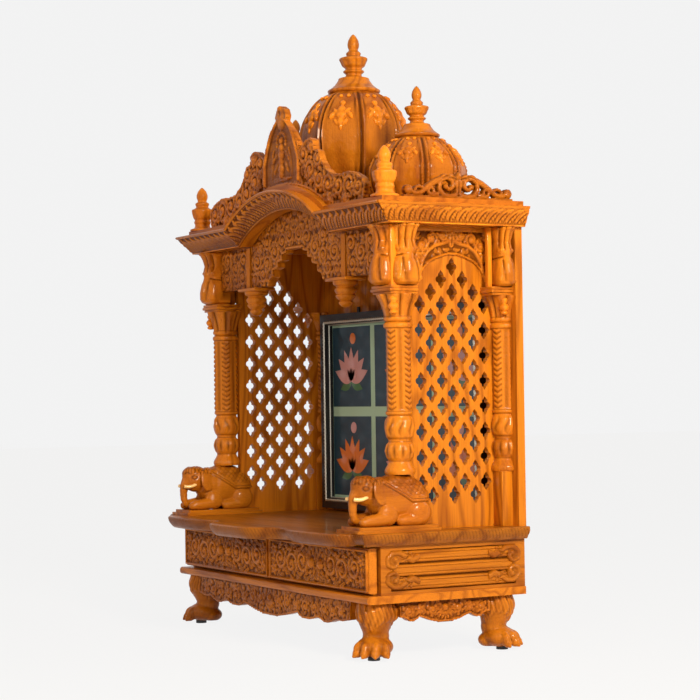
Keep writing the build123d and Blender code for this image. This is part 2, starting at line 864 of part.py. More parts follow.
# Picture: frame, prints and hooks
frame_front_y = back_panel_front_y - frame_depth
outer = block(-frame_half_width, frame_half_width, frame_front_y, back_panel_front_y, frame_bottom, frame_top)
inner_half = frame_half_width - frame_member
inner_low = frame_bottom + frame_member
inner_high = frame_top - frame_member
opening = block(-inner_half, inner_half, frame_front_y - 1, back_panel_front_y + 1, inner_low, inner_high)
picture_frame = outer - opening
save("picture_frame", picture_frame)
prints_front_y = frame_front_y + print_plane_sink
prints = block(-inner_half, inner_half, prints_front_y, back_panel_front_y, inner_low, inner_high)
save("picture_prints", prints)
hooks = []
for sx in (-1, 1):
    plate = block(
        sx * hook_x - hook_half, sx * hook_x + hook_half, back_panel_front_y - hook_thickness,
        back_panel_front_y, frame_top, frame_top + hook_tall,
    )
    hooks.append(plate)
save("picture_hooks", hooks)

# All pieces move by one amount, so that the whole stands centred over the origin
boxes = [solid.bounding_box() for solids in pieces.values() for solid in solids]
centre_x = (min(box.min.X for box in boxes) + max(box.max.X for box in boxes)) / 2
centre_y = (min(box.min.Y for box in boxes) + max(box.max.Y for box in boxes)) / 2
for name, solids in pieces.items():
    moved = [Pos(-centre_x, -centre_y, 0) * solid for solid in solids]
    export_step(moved[0] if len(moved) == 1 else Compound(moved), "parts/" + name + ".step")
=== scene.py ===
import math
import random

import bpy
import numpy as np
from mathutils import Matrix, Vector


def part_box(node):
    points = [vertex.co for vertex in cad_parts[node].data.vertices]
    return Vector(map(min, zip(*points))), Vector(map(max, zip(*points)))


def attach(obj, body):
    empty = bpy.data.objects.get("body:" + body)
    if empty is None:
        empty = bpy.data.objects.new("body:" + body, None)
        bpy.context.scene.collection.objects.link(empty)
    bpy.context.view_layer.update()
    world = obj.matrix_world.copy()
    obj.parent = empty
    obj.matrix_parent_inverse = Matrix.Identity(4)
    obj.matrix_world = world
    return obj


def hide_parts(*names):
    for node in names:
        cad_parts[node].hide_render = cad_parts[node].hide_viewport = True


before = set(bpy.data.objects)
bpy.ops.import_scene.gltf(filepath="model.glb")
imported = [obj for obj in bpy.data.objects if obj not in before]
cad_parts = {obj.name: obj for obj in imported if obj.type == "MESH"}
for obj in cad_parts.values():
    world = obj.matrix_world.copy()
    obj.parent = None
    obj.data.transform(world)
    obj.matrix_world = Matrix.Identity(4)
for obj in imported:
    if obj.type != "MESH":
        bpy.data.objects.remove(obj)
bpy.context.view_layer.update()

bl_info = {
    "name": "Carved Household Shrine",
    "version": (1, 0, 0),
    "blender": (4, 5, 0),
    "location": "View3D > Sidebar > Shrine",
    "description": "Carves and finishes a teak household shrine around its plain model",
    "category": "Object",
}

MM = 0.001
BODY = "shrine"


# Sizes in millimetres that the plain pieces don't give, and the camera's place in metres

LEDGE_HALF_DEPTH = 214.6
DRAWER_MARGIN = 4.0
CASE_PANEL_DEPTH = 7.0
CASE_STILE = 26.0
CORNICE_LEAF_PITCH = 29.0
CORNICE_HALF_IN = 521.0
CORNICE_FRONT_IN = -153.0
CORNICE_INSET = 3.6
COLUMN_X = 455.0
COLUMN_Y = -95.0
COLUMN_STEPS = 80
SHAFT_BANDS = 8
DROP_LEVEL = 366
ABACUS_HALF = 47.0
ABACUS_LAYERS = ((-5, 0, 6), (-1, 6, 13), (-3, 13, 20))
POST_HALF = 20.0
GORES = 8
DOME_RADIUS = 137.0
DOME_WIDEST_LEVEL = 1240.0
DOME_NECK = 62.0
SMALL_DOME_RADIUS = 117.0
SMALL_DOME_NECK = 48.0
SMALL_FINIAL_SCALE = 0.82
CORNER_FINIAL_HALF = 34
FOOT_X = 452.0
FOOT_Y = 166.0
ELEPHANT_X = 457.0
RIB_PITCH = 9.0
RIB_DEPTH = 1.8
CAMERA_SPOT = (4.31935, -2.39975, 0.59421)
CAMERA_ANGLES = (60.6, 1.4, -0.8)


# Sizes and colours that a user would change

class TeakSettings(bpy.types.PropertyGroup):
    light: bpy.props.FloatVectorProperty(
        name="Light grain", description="Pale wood between the grain lines", subtype="COLOR", size=3,
        min=0, max=1, default=(0.58, 0.185, 0.010),
    )
    dark: bpy.props.FloatVectorProperty(
        name="Dark grain", description="Dark lines of the grain", subtype="COLOR", size=3,
        min=0, max=1, default=(0.235, 0.055, 0.003),
    )
    # Colour of the stain and of the painted shade in the hollows of the carving.
    hollow_stain_and_shade: bpy.props.FloatVectorProperty(
        name="Hollows", description="Stain gathered in the carving", subtype="COLOR", size=3,
        min=0, max=1, default=(0.095, 0.022, 0.001),
    )
    gloss: bpy.props.FloatProperty(
        name="Varnish roughness", description="Roughness of the varnish coat", min=0.02, max=1, default=0.16,
    )


class CarvingSettings(bpy.types.PropertyGroup):
    depth: bpy.props.FloatProperty(
        name="Depth", description="Depth of the leaf carving", min=0.001, max=0.02, default=0.006,
        unit="LENGTH",
    )
    step: bpy.props.FloatProperty(
        name="Step", description="Spacing of the carved surface", min=0.0008, max=0.005, default=0.002,
        unit="LENGTH",
    )
    seed: bpy.props.IntProperty(name="Seed", description="Choice of the filling leaves", min=0, default=7)


class StageSettings(bpy.types.PropertyGroup):
    paper: bpy.props.FloatVectorProperty(
        name="Paper", description="Colour of the floor and backdrop", subtype="COLOR", size=3,
        min=0, max=1, default=(0.80, 0.80, 0.80),
    )
    lens: bpy.props.FloatProperty(
        name="Lens", description="Focal length of the camera in millimetres", min=10, max=300, default=100.9,
    )


# Small helpers

def settings(name):
    return getattr(bpy.context.scene, name)


def node(name):
    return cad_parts[name]


def box(name):
    low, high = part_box(name)
    return np.array(low) / MM, np.array(high) / MM


def depth_shift():
    # From depths measured at the middle of the ledge to depths in the shared frame.
    return box("base_ledge")[1][1] - LEDGE_HALF_DEPTH


def chosen_step(factor=1.0):
    return settings("shrine_carving").step / MM * factor


def chosen_depth(factor=1.0):
    return settings("shrine_carving").depth / MM * factor


def chooser(extra=0):
    return random.Random(settings("shrine_carving").seed + extra)


def wall_top():
    return box("back_panel")[1][2]


def deselect():
    if bpy.context.object and bpy.context.object.mode != "OBJECT":
        bpy.ops.object.mode_set(mode="OBJECT")
    bpy.ops.object.select_all(action="DESELECT")


def pick(obj):
    deselect()
    obj.select_set(True)
    bpy.context.view_layer.objects.active = obj


def clean(obj, merge=0.00005):
    # Doubles are merged, and every face is turned outwards.
    pick(obj)
    bpy.ops.object.mode_set(mode="EDIT")
    bpy.ops.mesh.select_all(action="SELECT")
    bpy.ops.mesh.remove_doubles(threshold=merge)
    bpy.ops.mesh.normals_make_consistent(inside=False)
    bpy.ops.object.mode_set(mode="OBJECT")


def flattened(obj, first, last, degrees=3.0):
    # The hidden rear faces of a carving are melted into a few large ones.
    pick(obj)
    bpy.ops.object.mode_set(mode="EDIT")
    bpy.ops.mesh.select_mode(type="FACE")
    bpy.ops.mesh.select_all(action="DESELECT")
    bpy.ops.object.mode_set(mode="OBJECT")
    chosen = np.zeros(len(obj.data.polygons), bool)
    chosen[first:last] = True
    obj.data.polygons.foreach_set("select", chosen)
    bpy.ops.object.mode_set(mode="EDIT")
    bpy.ops.mesh.dissolve_limited(angle_limit=math.radians(degrees))
    bpy.ops.mesh.select_mode(type="VERT")
    bpy.ops.object.mode_set(mode="OBJECT")


def smooth(obj, degrees=40):
    pick(obj)
    bpy.ops.object.shade_smooth_by_angle(angle=math.radians(degrees))


def settle(obj):
    pick(obj)
    bpy.ops.object.transform_apply(location=True, rotation=True, scale=True)


def finish_piece(obj, finish, replaced=(), body=BODY):
    obj.data.materials.clear()
    obj.data.materials.append(material(finish))
    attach(obj, body)
    if replaced:
        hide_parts(*replaced)


def mesh_piece(name, points, faces):
    mesh = bpy.data.meshes.new(name)
    mesh.from_pydata([tuple(p) for p in points], [], faces)
    mesh.update()
    obj = bpy.data.objects.new(name, mesh)
    bpy.context.scene.collection.objects.link(obj)
    return obj


def ring_faces(rows, around):
    # Quads between rings of points, and a face over each end.
    faces = []
    for row in range(rows - 1):
        one = row * around
        for step in range(around):
            after = (step + 1) % around
            faces.append((one + step, one + after, one + after + around, one + step + around))
    faces.append(tuple(range(around - 1, -1, -1)))
    faces.append(tuple(range((rows - 1) * around, rows * around)))
    return faces


def distances(points):
    # How far along a line each of its points lies.
    return np.concatenate([[0], np.cumsum(np.hypot(*np.diff(points, axis=0).T))])


# Carving tool: heights over a grid, in millimetres, raised and cut by chisel strokes

def softened(values, rounds):
    for _ in range(rounds):
        edge = np.pad(values, 1, mode="edge")
        around = edge[:-2, 1:-1] + edge[2:, 1:-1] + edge[1:-1, :-2] + edge[1:-1, 2:]
        values = (around + 4 * edge[1:-1, 1:-1]) / 8
    return values


class Relief:
    """A carved face: its heights, and a field that is positive where there is wood."""

    def __init__(self, width, tall, step=2.0, stretch=(1, 1)):
        self.width = width
        self.tall = tall
        self.step = step
        self.u = np.linspace(0, width, max(3, int(round(width / step / stretch[0])) + 1))
        self.v = np.linspace(0, tall, max(3, int(round(tall / step / stretch[1])) + 1))
        self.grid_u, self.grid_v = np.meshgrid(self.u, self.v)
        self.height = np.zeros(self.grid_u.shape)
        self.field = np.ones(self.grid_u.shape)

    def part(self, u, v, reach):
        first, last = np.searchsorted(self.u, (u - reach, u + reach))
        low, high = np.searchsorted(self.v, (v - reach, v + reach))
        return slice(low, high), slice(first, last)

    def ball(self, u, v, radius, lift):
        part = self.part(u, v, radius)
        square = ((self.grid_u[part] - u) ** 2 + (self.grid_v[part] - v) ** 2) / radius ** 2
        lump = lift * np.sqrt(np.clip(1 - square, 0, None))
        self.height[part] = np.maximum(self.height[part], lump)

    def cut(self, path, radius, depth):
        # The whole stroke is cut at once, so that its overlaps go no deeper.
        groove = np.zeros(self.height.shape)
        for u, v in path:
            part = self.part(u, v, radius)
            square = ((self.grid_u[part] - u) ** 2 + (self.grid_v[part] - v) ** 2) / radius ** 2
            groove[part] = np.maximum(groove[part], depth * np.clip(1 - square, 0, None))
        self.height -= groove

    def leaf(self, u, v, heading, length, width, lift, curl=0.0, rib=True):
        # A lobed leaf with a sunk midrib, its tip raised and curled.
        count = max(6, int(length / (0.9 * self.step)))
        path = []
        for index in range(count + 1):
            t = index / count
            swell = math.sin(math.pi * (0.1 + 0.86 * t)) ** 0.8 * (1 + 0.2 * math.sin(t * math.pi * 5))
            self.ball(u, v, max(self.step * 1.1, width * swell), lift * (0.6 + 0.4 * t))
            path.append((u, v))
            u += math.cos(heading + curl * t) * length / count
            v += math.sin(heading + curl * t) * length / count
        if rib:
            self.cut(path[1:int(count * 0.8)], max(width * 0.3, self.step * 1.05), lift * 0.45)

    def scroll(self, u, v, radius, start, turns, thick, lift, leaves=0):
        # A stem that winds in to a round eye and throws leaves off its outer turn.
        hand = 1 if turns > 0 else -1
        count = max(8, int(abs(turns) * 4.5 * radius / self.step))
        for index in range(count + 1):
            t = index / count
            reach = radius * (1 - 0.76 * t)
            angle = start + turns * 2 * math.pi * t
            self.ball(
                u + reach * math.cos(angle), v + reach * math.sin(angle), thick * (1 - 0.3 * t),
                lift * (0.7 + 0.3 * t),
            )
        self.ball(u, v, thick * 1.3, lift * 1.15)
        for index in range(leaves):
            angle = start + hand * (0.3 + 0.95 * index)
            self.leaf(
                u + radius * math.cos(angle), v + radius * math.sin(angle), angle + hand * 0.75,
                radius * 0.62, thick * 0.95, lift * 0.95, hand * 1.3,
            )

    def stroke(self, points, thick, lift):
        # A rounded stem along a smooth line, thinner towards its end.
        spots = np.array(points, float)
        along = distances(spots)
        count = int(along[-1] / (0.6 * self.step))
        marks = np.linspace(0, along[-1], count)
        line = np.stack([np.interp(marks, along, spots[:, 0]), np.interp(marks, along, spots[:, 1])])
        rounds = int((9.0 / (along[-1] / count)) ** 2 / 4)
        for _ in range(rounds):
            line[:, 1:-1] = (line[:, :-2] + 2 * line[:, 1:-1] + line[:, 2:]) / 4
        for index in range(count):
            t = index / count
            self.ball(line[0, index], line[1, index], thick * (1 - 0.35 * t), lift * (0.85 + 0.15 * t))
        self.ball(line[0, -1], line[1, -1], thick * 0.95, lift * 1.1)

    def flower(self, u, v, radius, petals, lift):
        for index in range(petals):
            angle = 2 * math.pi * index / petals + 0.3
            self.leaf(
                u + 0.25 * radius * math.cos(angle), v + 0.25 * radius * math.sin(angle), angle,
                radius * 0.7, radius * 0.36, lift, rib=False,
            )
        self.ball(u, v, radius * 0.34, lift * 1.25)

    def fill(self, chooser, spacing, size, lift, bare=0.45):
        # Small curled leaves wherever the ground is still bare.
        for v in np.arange(spacing / 2, self.tall, spacing):
            for u in np.arange(spacing / 2, self.width, spacing):
                at_u = u + chooser.uniform(-0.35, 0.35) * spacing
                at_v = v + chooser.uniform(-0.35, 0.35) * spacing
                row = min(len(self.v) - 1, int(np.searchsorted(self.v, at_v)))
                column = min(len(self.u) - 1, int(np.searchsorted(self.u, at_u)))
                if self.field[row, column] <= 0 or self.height[row, column] > bare * lift:
                    continue
                self.leaf(
                    at_u, at_v, chooser.uniform(0, 2 * math.pi), size * chooser.uniform(0.8, 1.2),
                    size * 0.3, lift * chooser.uniform(0.6, 0.95), chooser.choice((-1.5, 1.5)),
                )

    def twin(self):
        # The right half is the pattern, and the left half its mirror image.
        half = self.height.shape[1] // 2
        self.height[:, :half] = self.height[:, ::-1][:, :half]

    def edge_distance(self, reach):
        current = self.field > 0
        distance = np.zeros(current.shape)
        for _ in range(int(reach / self.step) + 1):
            distance += current * self.step
            wide = np.pad(current, 1, mode="constant")
            current = current & wide[:-2, 1:-1] & wide[2:, 1:-1] & wide[1:-1, :-2] & wide[1:-1, 2:]
        return distance

    def bead(self, middle, half, lift, where=None):
        # A rounded bead that follows the outline at a set distance.
        distance = self.edge_distance(middle + half + self.step)
        profile = lift * np.sqrt(np.clip(1 - ((distance - middle) / half) ** 2, 0, None))
        if where is not None:
            profile = profile * where
        self.height = np.maximum(self.height, profile)

    def outline_from(self, name, across):
        # The field takes the outline of a plain piece, seen square on.
        mask = np.zeros(self.height.shape)
        start = box(name)[0]
        for corners in triangles(name):
            us = corners[:, across] - start[across]
            vs = corners[:, 2] - start[2]
            first, last = np.searchsorted(self.u, (us.min() - 0.01, us.max() + 0.01))
            low, high = np.searchsorted(self.v, (vs.min() - 0.01, vs.max() + 0.01))
            part = (slice(low, high), slice(first, last))
            grid_u, grid_v = self.grid_u[part], self.grid_v[part]
            signs = []
            for index in range(3):
                after = (index + 1) % 3
                du, dv = us[after] - us[index], vs[after] - vs[index]
                signs.append(du * (grid_v - vs[index]) - dv * (grid_u - us[index]))
            every = np.minimum.reduce(signs) >= -1e-6
            every |= np.maximum.reduce(signs) <= 1e-6
            mask[part] = np.maximum(mask[part], every)
        self.field = softened(mask, 2) - 0.5


def triangles(name):
    obj = node(name)
    obj.data.calc_loop_triangles()
    points = np.array([obj.matrix_world @ vertex.co for vertex in obj.data.vertices]) / MM
    return [points[list(face.vertices)] for face in obj.data.loop_triangles]


def carve(name, relief, place, back=-2.0):
    """Makes a closed mesh from a relief; place takes u, v and height to millimetres."""
    field = relief.field
    mean = (field[:-1, :-1] + field[1:, :-1] + field[:-1, 1:] + field[1:, 1:]) / 4
    cells = mean > 0
    wide = np.pad(cells, 1, mode="constant")
    any_kept = wide[:-1, :-1] | wide[1:, :-1] | wide[:-1, 1:] | wide[1:, 1:]
    rim = np.pad(cells, 1, mode="edge")
    all_kept = rim[:-1, :-1] & rim[1:, :-1] & rim[:-1, 1:] & rim[1:, 1:]
    moved = any_kept & ~all_kept
    slope_v, slope_u = np.gradient(field, relief.v, relief.u)
    steep = slope_u ** 2 + slope_v ** 2 + 1e-9
    shift_u = -field * slope_u / steep
    shift_v = -field * slope_v / steep
    length = np.sqrt(shift_u ** 2 + shift_v ** 2) + 1e-9
    limit = np.minimum(1, 0.6 * relief.step / length) * moved
    shift_u *= limit
    shift_v *= limit
    shift_u[:, [0, -1]] = 0
    shift_v[[0, -1], :] = 0
    u = relief.grid_u + shift_u
    v = relief.grid_v + shift_v
    front = np.stack(place(u, v, relief.height), axis=-1)
    rear = np.stack(place(u, v, np.full(u.shape, back)), axis=-1)
    count = int(any_kept.sum())
    index = np.full(u.shape, -1)
    index[any_kept] = np.arange(count)
    points = np.concatenate([front[any_kept], rear[any_kept]]) * MM
    rows, columns = np.nonzero(cells)
    one, two = index[rows, columns], index[rows, columns + 1]
    three, four_ = index[rows + 1, columns + 1], index[rows + 1, columns]
    faces = [np.stack([one, two, three, four_], axis=1)]
    faces.append(np.stack([four_, three, two, one], axis=1) + count)
    sides = (
        (wide[:-2, 1:-1], one, two), (wide[2:, 1:-1], three, four_),
        (wide[1:-1, :-2], four_, one), (wide[1:-1, 2:], two, three),
    )
    for neighbour, begin, end in sides:
        open_side = ~neighbour[rows, columns]
        begin, end = begin[open_side], end[open_side]
        faces.append(np.stack([end, begin, begin + count, end + count], axis=1))
    obj = mesh_piece(name, points.tolist(), np.concatenate(faces).tolist())
    # The rise of each point sets its painted shade in the finish; the rear gets a middle value.
    tone = risen(relief.height)
    mark(obj, np.concatenate([tone[any_kept], np.full(count, 0.6)]))
    flattened(obj, len(rows), 2 * len(rows))
    clean(obj, 0.00002)
    smooth(obj, 55)
    return obj


def risen(height):
    # From nothing in the hollows to one on the ridges, by height and by what lies around; the finish paints
    # the low values dark as stain and painted shade.
    span = max(0.5, np.percentile(height, 97) - np.percentile(height, 3))
    whole = (height - np.percentile(height, 3)) / span
    beside = (height - softened(height, 14)) / span
    return np.clip(0.12 + 0.55 * whole + 1.3 * beside, 0, 1)


def mark(obj, values):
    # Keeps the rise of each point, from which the wood finish paints stain and painted shade into the
    # hollows.
    attribute = obj.data.attributes.new("rise", "FLOAT", "POINT")
    attribute.data.foreach_set("value", np.asarray(values, dtype=np.float32))


def onto_front(x, y, z):
    return lambda u, v, h: (x + u, y - h + 0 * u, z + v)


def onto_right(x, y, z):
    return lambda u, v, h: (x + h + 0 * u, y + u, z + v)


def copied(obj, name):
    # A copy with its own mesh.
    twin = obj.copy()
    twin.data = obj.data.copy()
    twin.name = name
    bpy.context.scene.collection.objects.link(twin)
    return twin


def mirrored(obj, name):
    # A twin for the left side.
    twin = copied(obj, name)
    points = np.empty(len(twin.data.vertices) * 3)
    twin.data.vertices.foreach_get("co", points)
    points[0::3] *= -1
    twin.data.vertices.foreach_set("co", points)
    twin.data.flip_normals()
    twin.data.update()
    return twin


def pair(right, finish, replaced=(), bodies=(BODY, BODY)):
    # Finishes a right-hand piece and makes its left-hand twin.
    left = mirrored(right, right.name.replace("right", "left"))
    replaced_left = [item.replace("right", "left") for item in replaced]
    finish_piece(right, finish, replaced, bodies[0])
    finish_piece(left, finish, replaced_left, bodies[1])


# Turned work

def dense(points, step):
    # The profile at an even spacing, as a smooth line through its points.
    points = np.array(points, float)
    along = distances(points)
    spots = np.linspace(0, along[-1], max(4, int(along[-1] / step)))
    radii = np.interp(spots, along, points[:, 0])
    levels = np.interp(spots, along, points[:, 1])
    soft_r, soft_z = radii.copy(), levels.copy()
    soft_r[1:-1] = (radii[:-2] + 2 * radii[1:-1] + radii[2:]) / 4
    soft_z[1:-1] = (levels[:-2] + 2 * levels[1:-1] + levels[2:]) / 4
    return list(zip(soft_r, soft_z))


def spun(name, profile, steps, centre, shape=None, step=2.0, warp=None):
    """Spins a profile about an upright axis; shape adds carving to the radius."""
    points = dense(profile, step)
    points = [(0.0, points[0][1])] + list(points) + [(0.0, points[-1][1])]
    mesh = bpy.data.meshes.new(name)
    edges = [(index, index + 1) for index in range(len(points) - 1)]
    mesh.from_pydata([(r * MM, 0, z * MM) for r, z in points], edges, [])
    obj = bpy.data.objects.new(name, mesh)
    bpy.context.scene.collection.objects.link(obj)
    pick(obj)
    bpy.ops.object.mode_set(mode="EDIT")
    bpy.ops.mesh.select_all(action="SELECT")
    bpy.ops.mesh.spin(steps=steps, angle=2 * math.pi, center=(0, 0, 0), axis=(0, 0, 1))
    bpy.ops.mesh.select_all(action="SELECT")
    bpy.ops.mesh.remove_doubles(threshold=0.00001)
    bpy.ops.mesh.normals_make_consistent(inside=False)
    bpy.ops.object.mode_set(mode="OBJECT")
    count = len(mesh.vertices)
    flat = np.empty(count * 3)
    mesh.vertices.foreach_get("co", flat)
    xyz = flat.reshape(-1, 3) / MM
    if shape is not None:
        radius = np.hypot(xyz[:, 0], xyz[:, 1])
        angle = np.arctan2(xyz[:, 1], xyz[:, 0])
        if warp is not None:
            angle = warp(angle)
        carved, tone = shape(angle, xyz[:, 2], radius)
        # Without a tone of its own, the carving is painted darker where it sinks in and lighter where it
        # stands out, as painted shade and light.
        if tone is None:
            tone = 0.62 + carved / max(0.5, 2.2 * np.percentile(np.abs(carved), 95))
        mark(obj, np.clip(tone, 0, 1))
        grown = np.where(radius > 0.5, radius + carved, radius)
        xyz[:, 0] = grown * np.cos(angle)
        xyz[:, 1] = grown * np.sin(angle)
    xyz += np.array(centre)
    mesh.vertices.foreach_set("co", (xyz * MM).ravel())
    mesh.update()
    smooth(obj, 50)
    return obj


def window(level, low, high):
    # Rises from nothing at both ends of a zone to one in its middle.
    return np.sin(np.pi * np.clip((level - low) / (high - low), 0, 1)) ** 0.7


def board(name, low, high, bevel=1.5, segments=2):
    """A squared board between two corners, its edges eased."""
    deselect()
    centre = [(a + b) / 2 * MM for a, b in zip(low, high)]
    bpy.ops.mesh.primitive_cube_add(size=1, location=centre)
    obj = bpy.context.object
    obj.name = name
    obj.scale = [(b - a) * MM for a, b in zip(low, high)]
    settle(obj)
    bpy.ops.object.mode_set(mode="EDIT")
    bpy.ops.mesh.select_all(action="SELECT")
    bpy.ops.mesh.bevel(offset=bevel * MM, segments=segments)
    bpy.ops.object.mode_set(mode="OBJECT")
    smooth(obj, 40)
    return obj


def joined(name, pieces):
    deselect()
    for obj in pieces:
        obj.select_set(True)
    bpy.context.view_layer.objects.active = pieces[0]
    bpy.ops.object.join()
    pieces[0].name = name
    return pieces[0]


def blob(centre, half, turn=(0, 0, 0)):
    # A rounded lump, later melted together with its neighbours.
    deselect()
    bpy.ops.mesh.primitive_uv_sphere_add(segments=24, ring_count=16, radius=1, location=(0, 0, 0))
    obj = bpy.context.object
    obj.scale = [part * MM for part in half]
    obj.rotation_euler = [math.radians(part) for part in turn]
    obj.location = [part * MM for part in centre]
    settle(obj)
    return obj


def tube(points, radii):
    # A run of lumps close enough to melt into one limb.
    lumps = []
    for (first, after), (r0, r1) in zip(zip(points, points[1:]), zip(radii, radii[1:])):
        gap = math.dist(first, after)
        count = max(2, int(gap / (0.35 * min(r0, r1))))
        for index in range(count):
            t = index / count
            centre = [a + (b - a) * t for a, b in zip(first, after)]
            radius = r0 + (r1 - r0) * t
            lumps.append(blob(centre, (radius, radius, radius)))
    return lumps


def melted(name, lumps, voxel, rounds=6):
    """Joins lumps into one skin and smooths it."""
    obj = joined(name, lumps)
    pick(obj)
    remesh = obj.modifiers.new("skin", "REMESH")
    remesh.mode = "VOXEL"
    remesh.voxel_size = voxel * MM
    bpy.ops.object.modifier_apply(modifier="skin")
    ease = obj.modifiers.new("ease", "SMOOTH")
    ease.factor = 0.5
    ease.iterations = rounds
    bpy.ops.object.modifier_apply(modifier="ease")
    smooth(obj, 60)
    return obj


def reshaped(obj, change):
    # Moves every point by a function of its place and normal, which may give its tone as well.
    mesh = obj.data
    count = len(mesh.vertices)
    flat = np.empty(count * 3)
    normals = np.empty(count * 3)
    mesh.vertices.foreach_get("co", flat)
    mesh.vertices.foreach_get("normal", normals)
    xyz = flat.reshape(-1, 3) / MM
    moved = change(xyz, normals.reshape(-1, 3))
    if isinstance(moved, tuple):
        moved, tone = moved
        mark(obj, tone)
    mesh.vertices.foreach_set("co", (moved * MM).ravel())
    mesh.update()


def split(obj, spot, normal):
    # Cuts away what lies on the normal's side of a plane and closes the cut.
    pick(obj)
    bpy.ops.object.mode_set(mode="EDIT")
    bpy.ops.mesh.select_all(action="SELECT")
    bpy.ops.mesh.bisect(
        plane_co=[part * MM for part in spot], plane_no=normal, use_fill=True, clear_outer=True,
    )
    bpy.ops.object.mode_set(mode="OBJECT")


# Shader expressions

class Value:
    """A socket or number that takes part in shader maths."""

    def __init__(self, shader, socket):
        self.shader = shader
        self.socket = socket

    def _math(self, operation, first, second=None):
        links = {0: first}
        if second is not None:
            links[1] = second
        return self.shader.add("ShaderNodeMath", {"operation": operation}, links)

    def __add__(self, other):
        return self._math("ADD", self, other)

    def __radd__(self, other):
        return self._math("ADD", other, self)

    def __sub__(self, other):
        return self._math("SUBTRACT", self, other)

    def __rsub__(self, other):
        return self._math("SUBTRACT", other, self)

    def __mul__(self, other):
        return self._math("MULTIPLY", self, other)

    def __rmul__(self, other):
        return self._math("MULTIPLY", other, self)

    def power(self, other):
        return self._math("POWER", self, other)

    def clamped(self):
        return self.shader.add("ShaderNodeClamp", {}, {"Value": self})


class Shader:
    """One material, whose nodes are added by type, settings and links."""

    def __init__(self, name):
        self.material = bpy.data.materials.new(name)
        self.material.use_nodes = True
        self.tree = self.material.node_tree
        self.tree.nodes.clear()
        self.surface = self.tree.nodes.new("ShaderNodeBsdfPrincipled")
        self.output = self.tree.nodes.new("ShaderNodeOutputMaterial")
        self.tree.links.new(self.surface.outputs[0], self.output.inputs["Surface"])

    def add(self, kind, options, links, out=0):
        made = self.tree.nodes.new(kind)
        for key, value in options.items():
            setattr(made, key, value)
        for key, value in links.items():
            self.feed(made.inputs[key], value)
        return Value(self, made.outputs[out])

    def feed(self, socket, value):
        if isinstance(value, Value):
            self.tree.links.new(value.socket, socket)
        else:
            socket.default_value = value

    def set(self, **links):
        for key, value in links.items():
            self.feed(self.surface.inputs[key.replace("_", " ")], value)
        return self.material

    def mix(self, factor, first, second):
        return self.add("ShaderNodeMix", {"data_type": "RGBA"}, {0: factor, 6: first, 7: second}, out=2)

    def place(self, scale=(1, 1, 1), location=(0, 0, 0)):
        coordinates = self.add("ShaderNodeTexCoord", {}, {}, out=3)
        return self.add(
            "ShaderNodeMapping", {}, {"Vector": coordinates, "Scale": scale, "Location": location},
        )

    def noise(self, vector, scale, detail=3.0, roughness=0.5, distortion=0.0):
        sockets = {"Vector": vector, "Scale": scale, "Detail": detail}
        sockets |= {"Roughness": roughness, "Distortion": distortion}
        return self.add("ShaderNodeTexNoise", {}, sockets)

    def bump(self, height, strength, distance):
        return self.add("ShaderNodeBump", {}, {"Height": height, "Strength": strength, "Distance": distance})


def four(colour, factor=1.0):
    return (colour[0] * factor, colour[1] * factor, colour[2] * factor, 1)


def teak(name, along="Z", warmth=1.0, shade=1.0, carved=False, figure=1.0, shift=0.0, gloss=1.0):
    # Varnished teak: long cathedral figure, fine dark pores, and stain with painted shade in the hollows of
    # carving.
    colours = settings("shrine_teak")
    shader = Shader(name)
    stretch = {"X": (0.13, 1, 1), "Y": (1, 0.13, 1), "Z": (1, 1, 0.13)}[along]
    grain_place = shader.place(scale=stretch, location=(shift, shift * 0.7, shift * 1.3))
    fine_stretch = tuple(0.03 if part < 1 else 1 for part in stretch)
    fine_place = shader.place(scale=fine_stretch, location=(shift, 0, 0))
    broad = shader.noise(grain_place, 9.0, 2.0, 0.45, 0.35)
    rings = shader.add("ShaderNodeMath", {"operation": "SINE"}, {0: broad * (58.0 * figure)})
    rings = (rings * 0.5 + 0.5).power(2.2)
    pores = shader.noise(fine_place, 420.0, 3.0, 0.6)
    pores = ((pores - 0.45) * 3.0).clamped()
    clouds = shader.noise(shader.place(location=(shift, shift, 0)), 3.2, 2.0)
    light = four(colours.light, shade)
    dark = four(colours.dark, shade)
    colour = shader.mix((rings * 0.6 + pores * 0.45).clamped(), light, dark)
    reddish = (light[0] * 0.86, light[1] * 0.72 / warmth, light[2] * 0.7, 1)
    colour = shader.mix(((clouds - 0.38) * 1.6).clamped() * 0.55, colour, reddish)
    rough = colours.gloss * gloss
    coat = 0.22
    if carved:
        if carved == "rise":
            # Low rise marks the hollows, which are painted darker as stain and painted shade.
            rise = shader.add("ShaderNodeAttribute", {"attribute_name": "rise"}, {}, out=2)
            hollow_stain_and_shade = (1 - (rise * 1.35).clamped()).power(1.2)
            # The lowest hollows are painted nearly black, as painted shade.
            colour = shader.mix(((0.16 - rise) * 6.0).clamped() * 0.55, colour, (0.012, 0.003, 0.0005, 1))
        else:
            # Where the surface curves inwards it counts as hollow, for the stain and painted shade.
            pointy = shader.add("ShaderNodeNewGeometry", {}, {}, out=7)
            hollow_stain_and_shade = 1 - ((pointy - 0.42) * 9.0).clamped()
        colour = shader.mix(hollow_stain_and_shade * 0.84, colour, four(colours.hollow_stain_and_shade, shade))
        coat = 0.22 - hollow_stain_and_shade * 0.2
    height = rings * 0.25 + pores * 0.5
    wave = shader.noise(shader.place(location=(0, shift, 0)), 22.0, 2.0)
    height = height * 0.6 + wave * 1.2
    if carved:
        height = height + shader.noise(shader.place(location=(shift, 0, 0)), 95.0, 2.0) * 7.0
    bump = shader.bump(height, 0.22, 0.0012)
    return shader.set(
        Base_Color=colour, Roughness=pores * 0.12 + (rough + 0.16), Normal=bump, Coat_Weight=coat,
        Coat_Roughness=rough * 0.5, Coat_IOR=1.5, Specular_IOR_Level=0.05,
    )


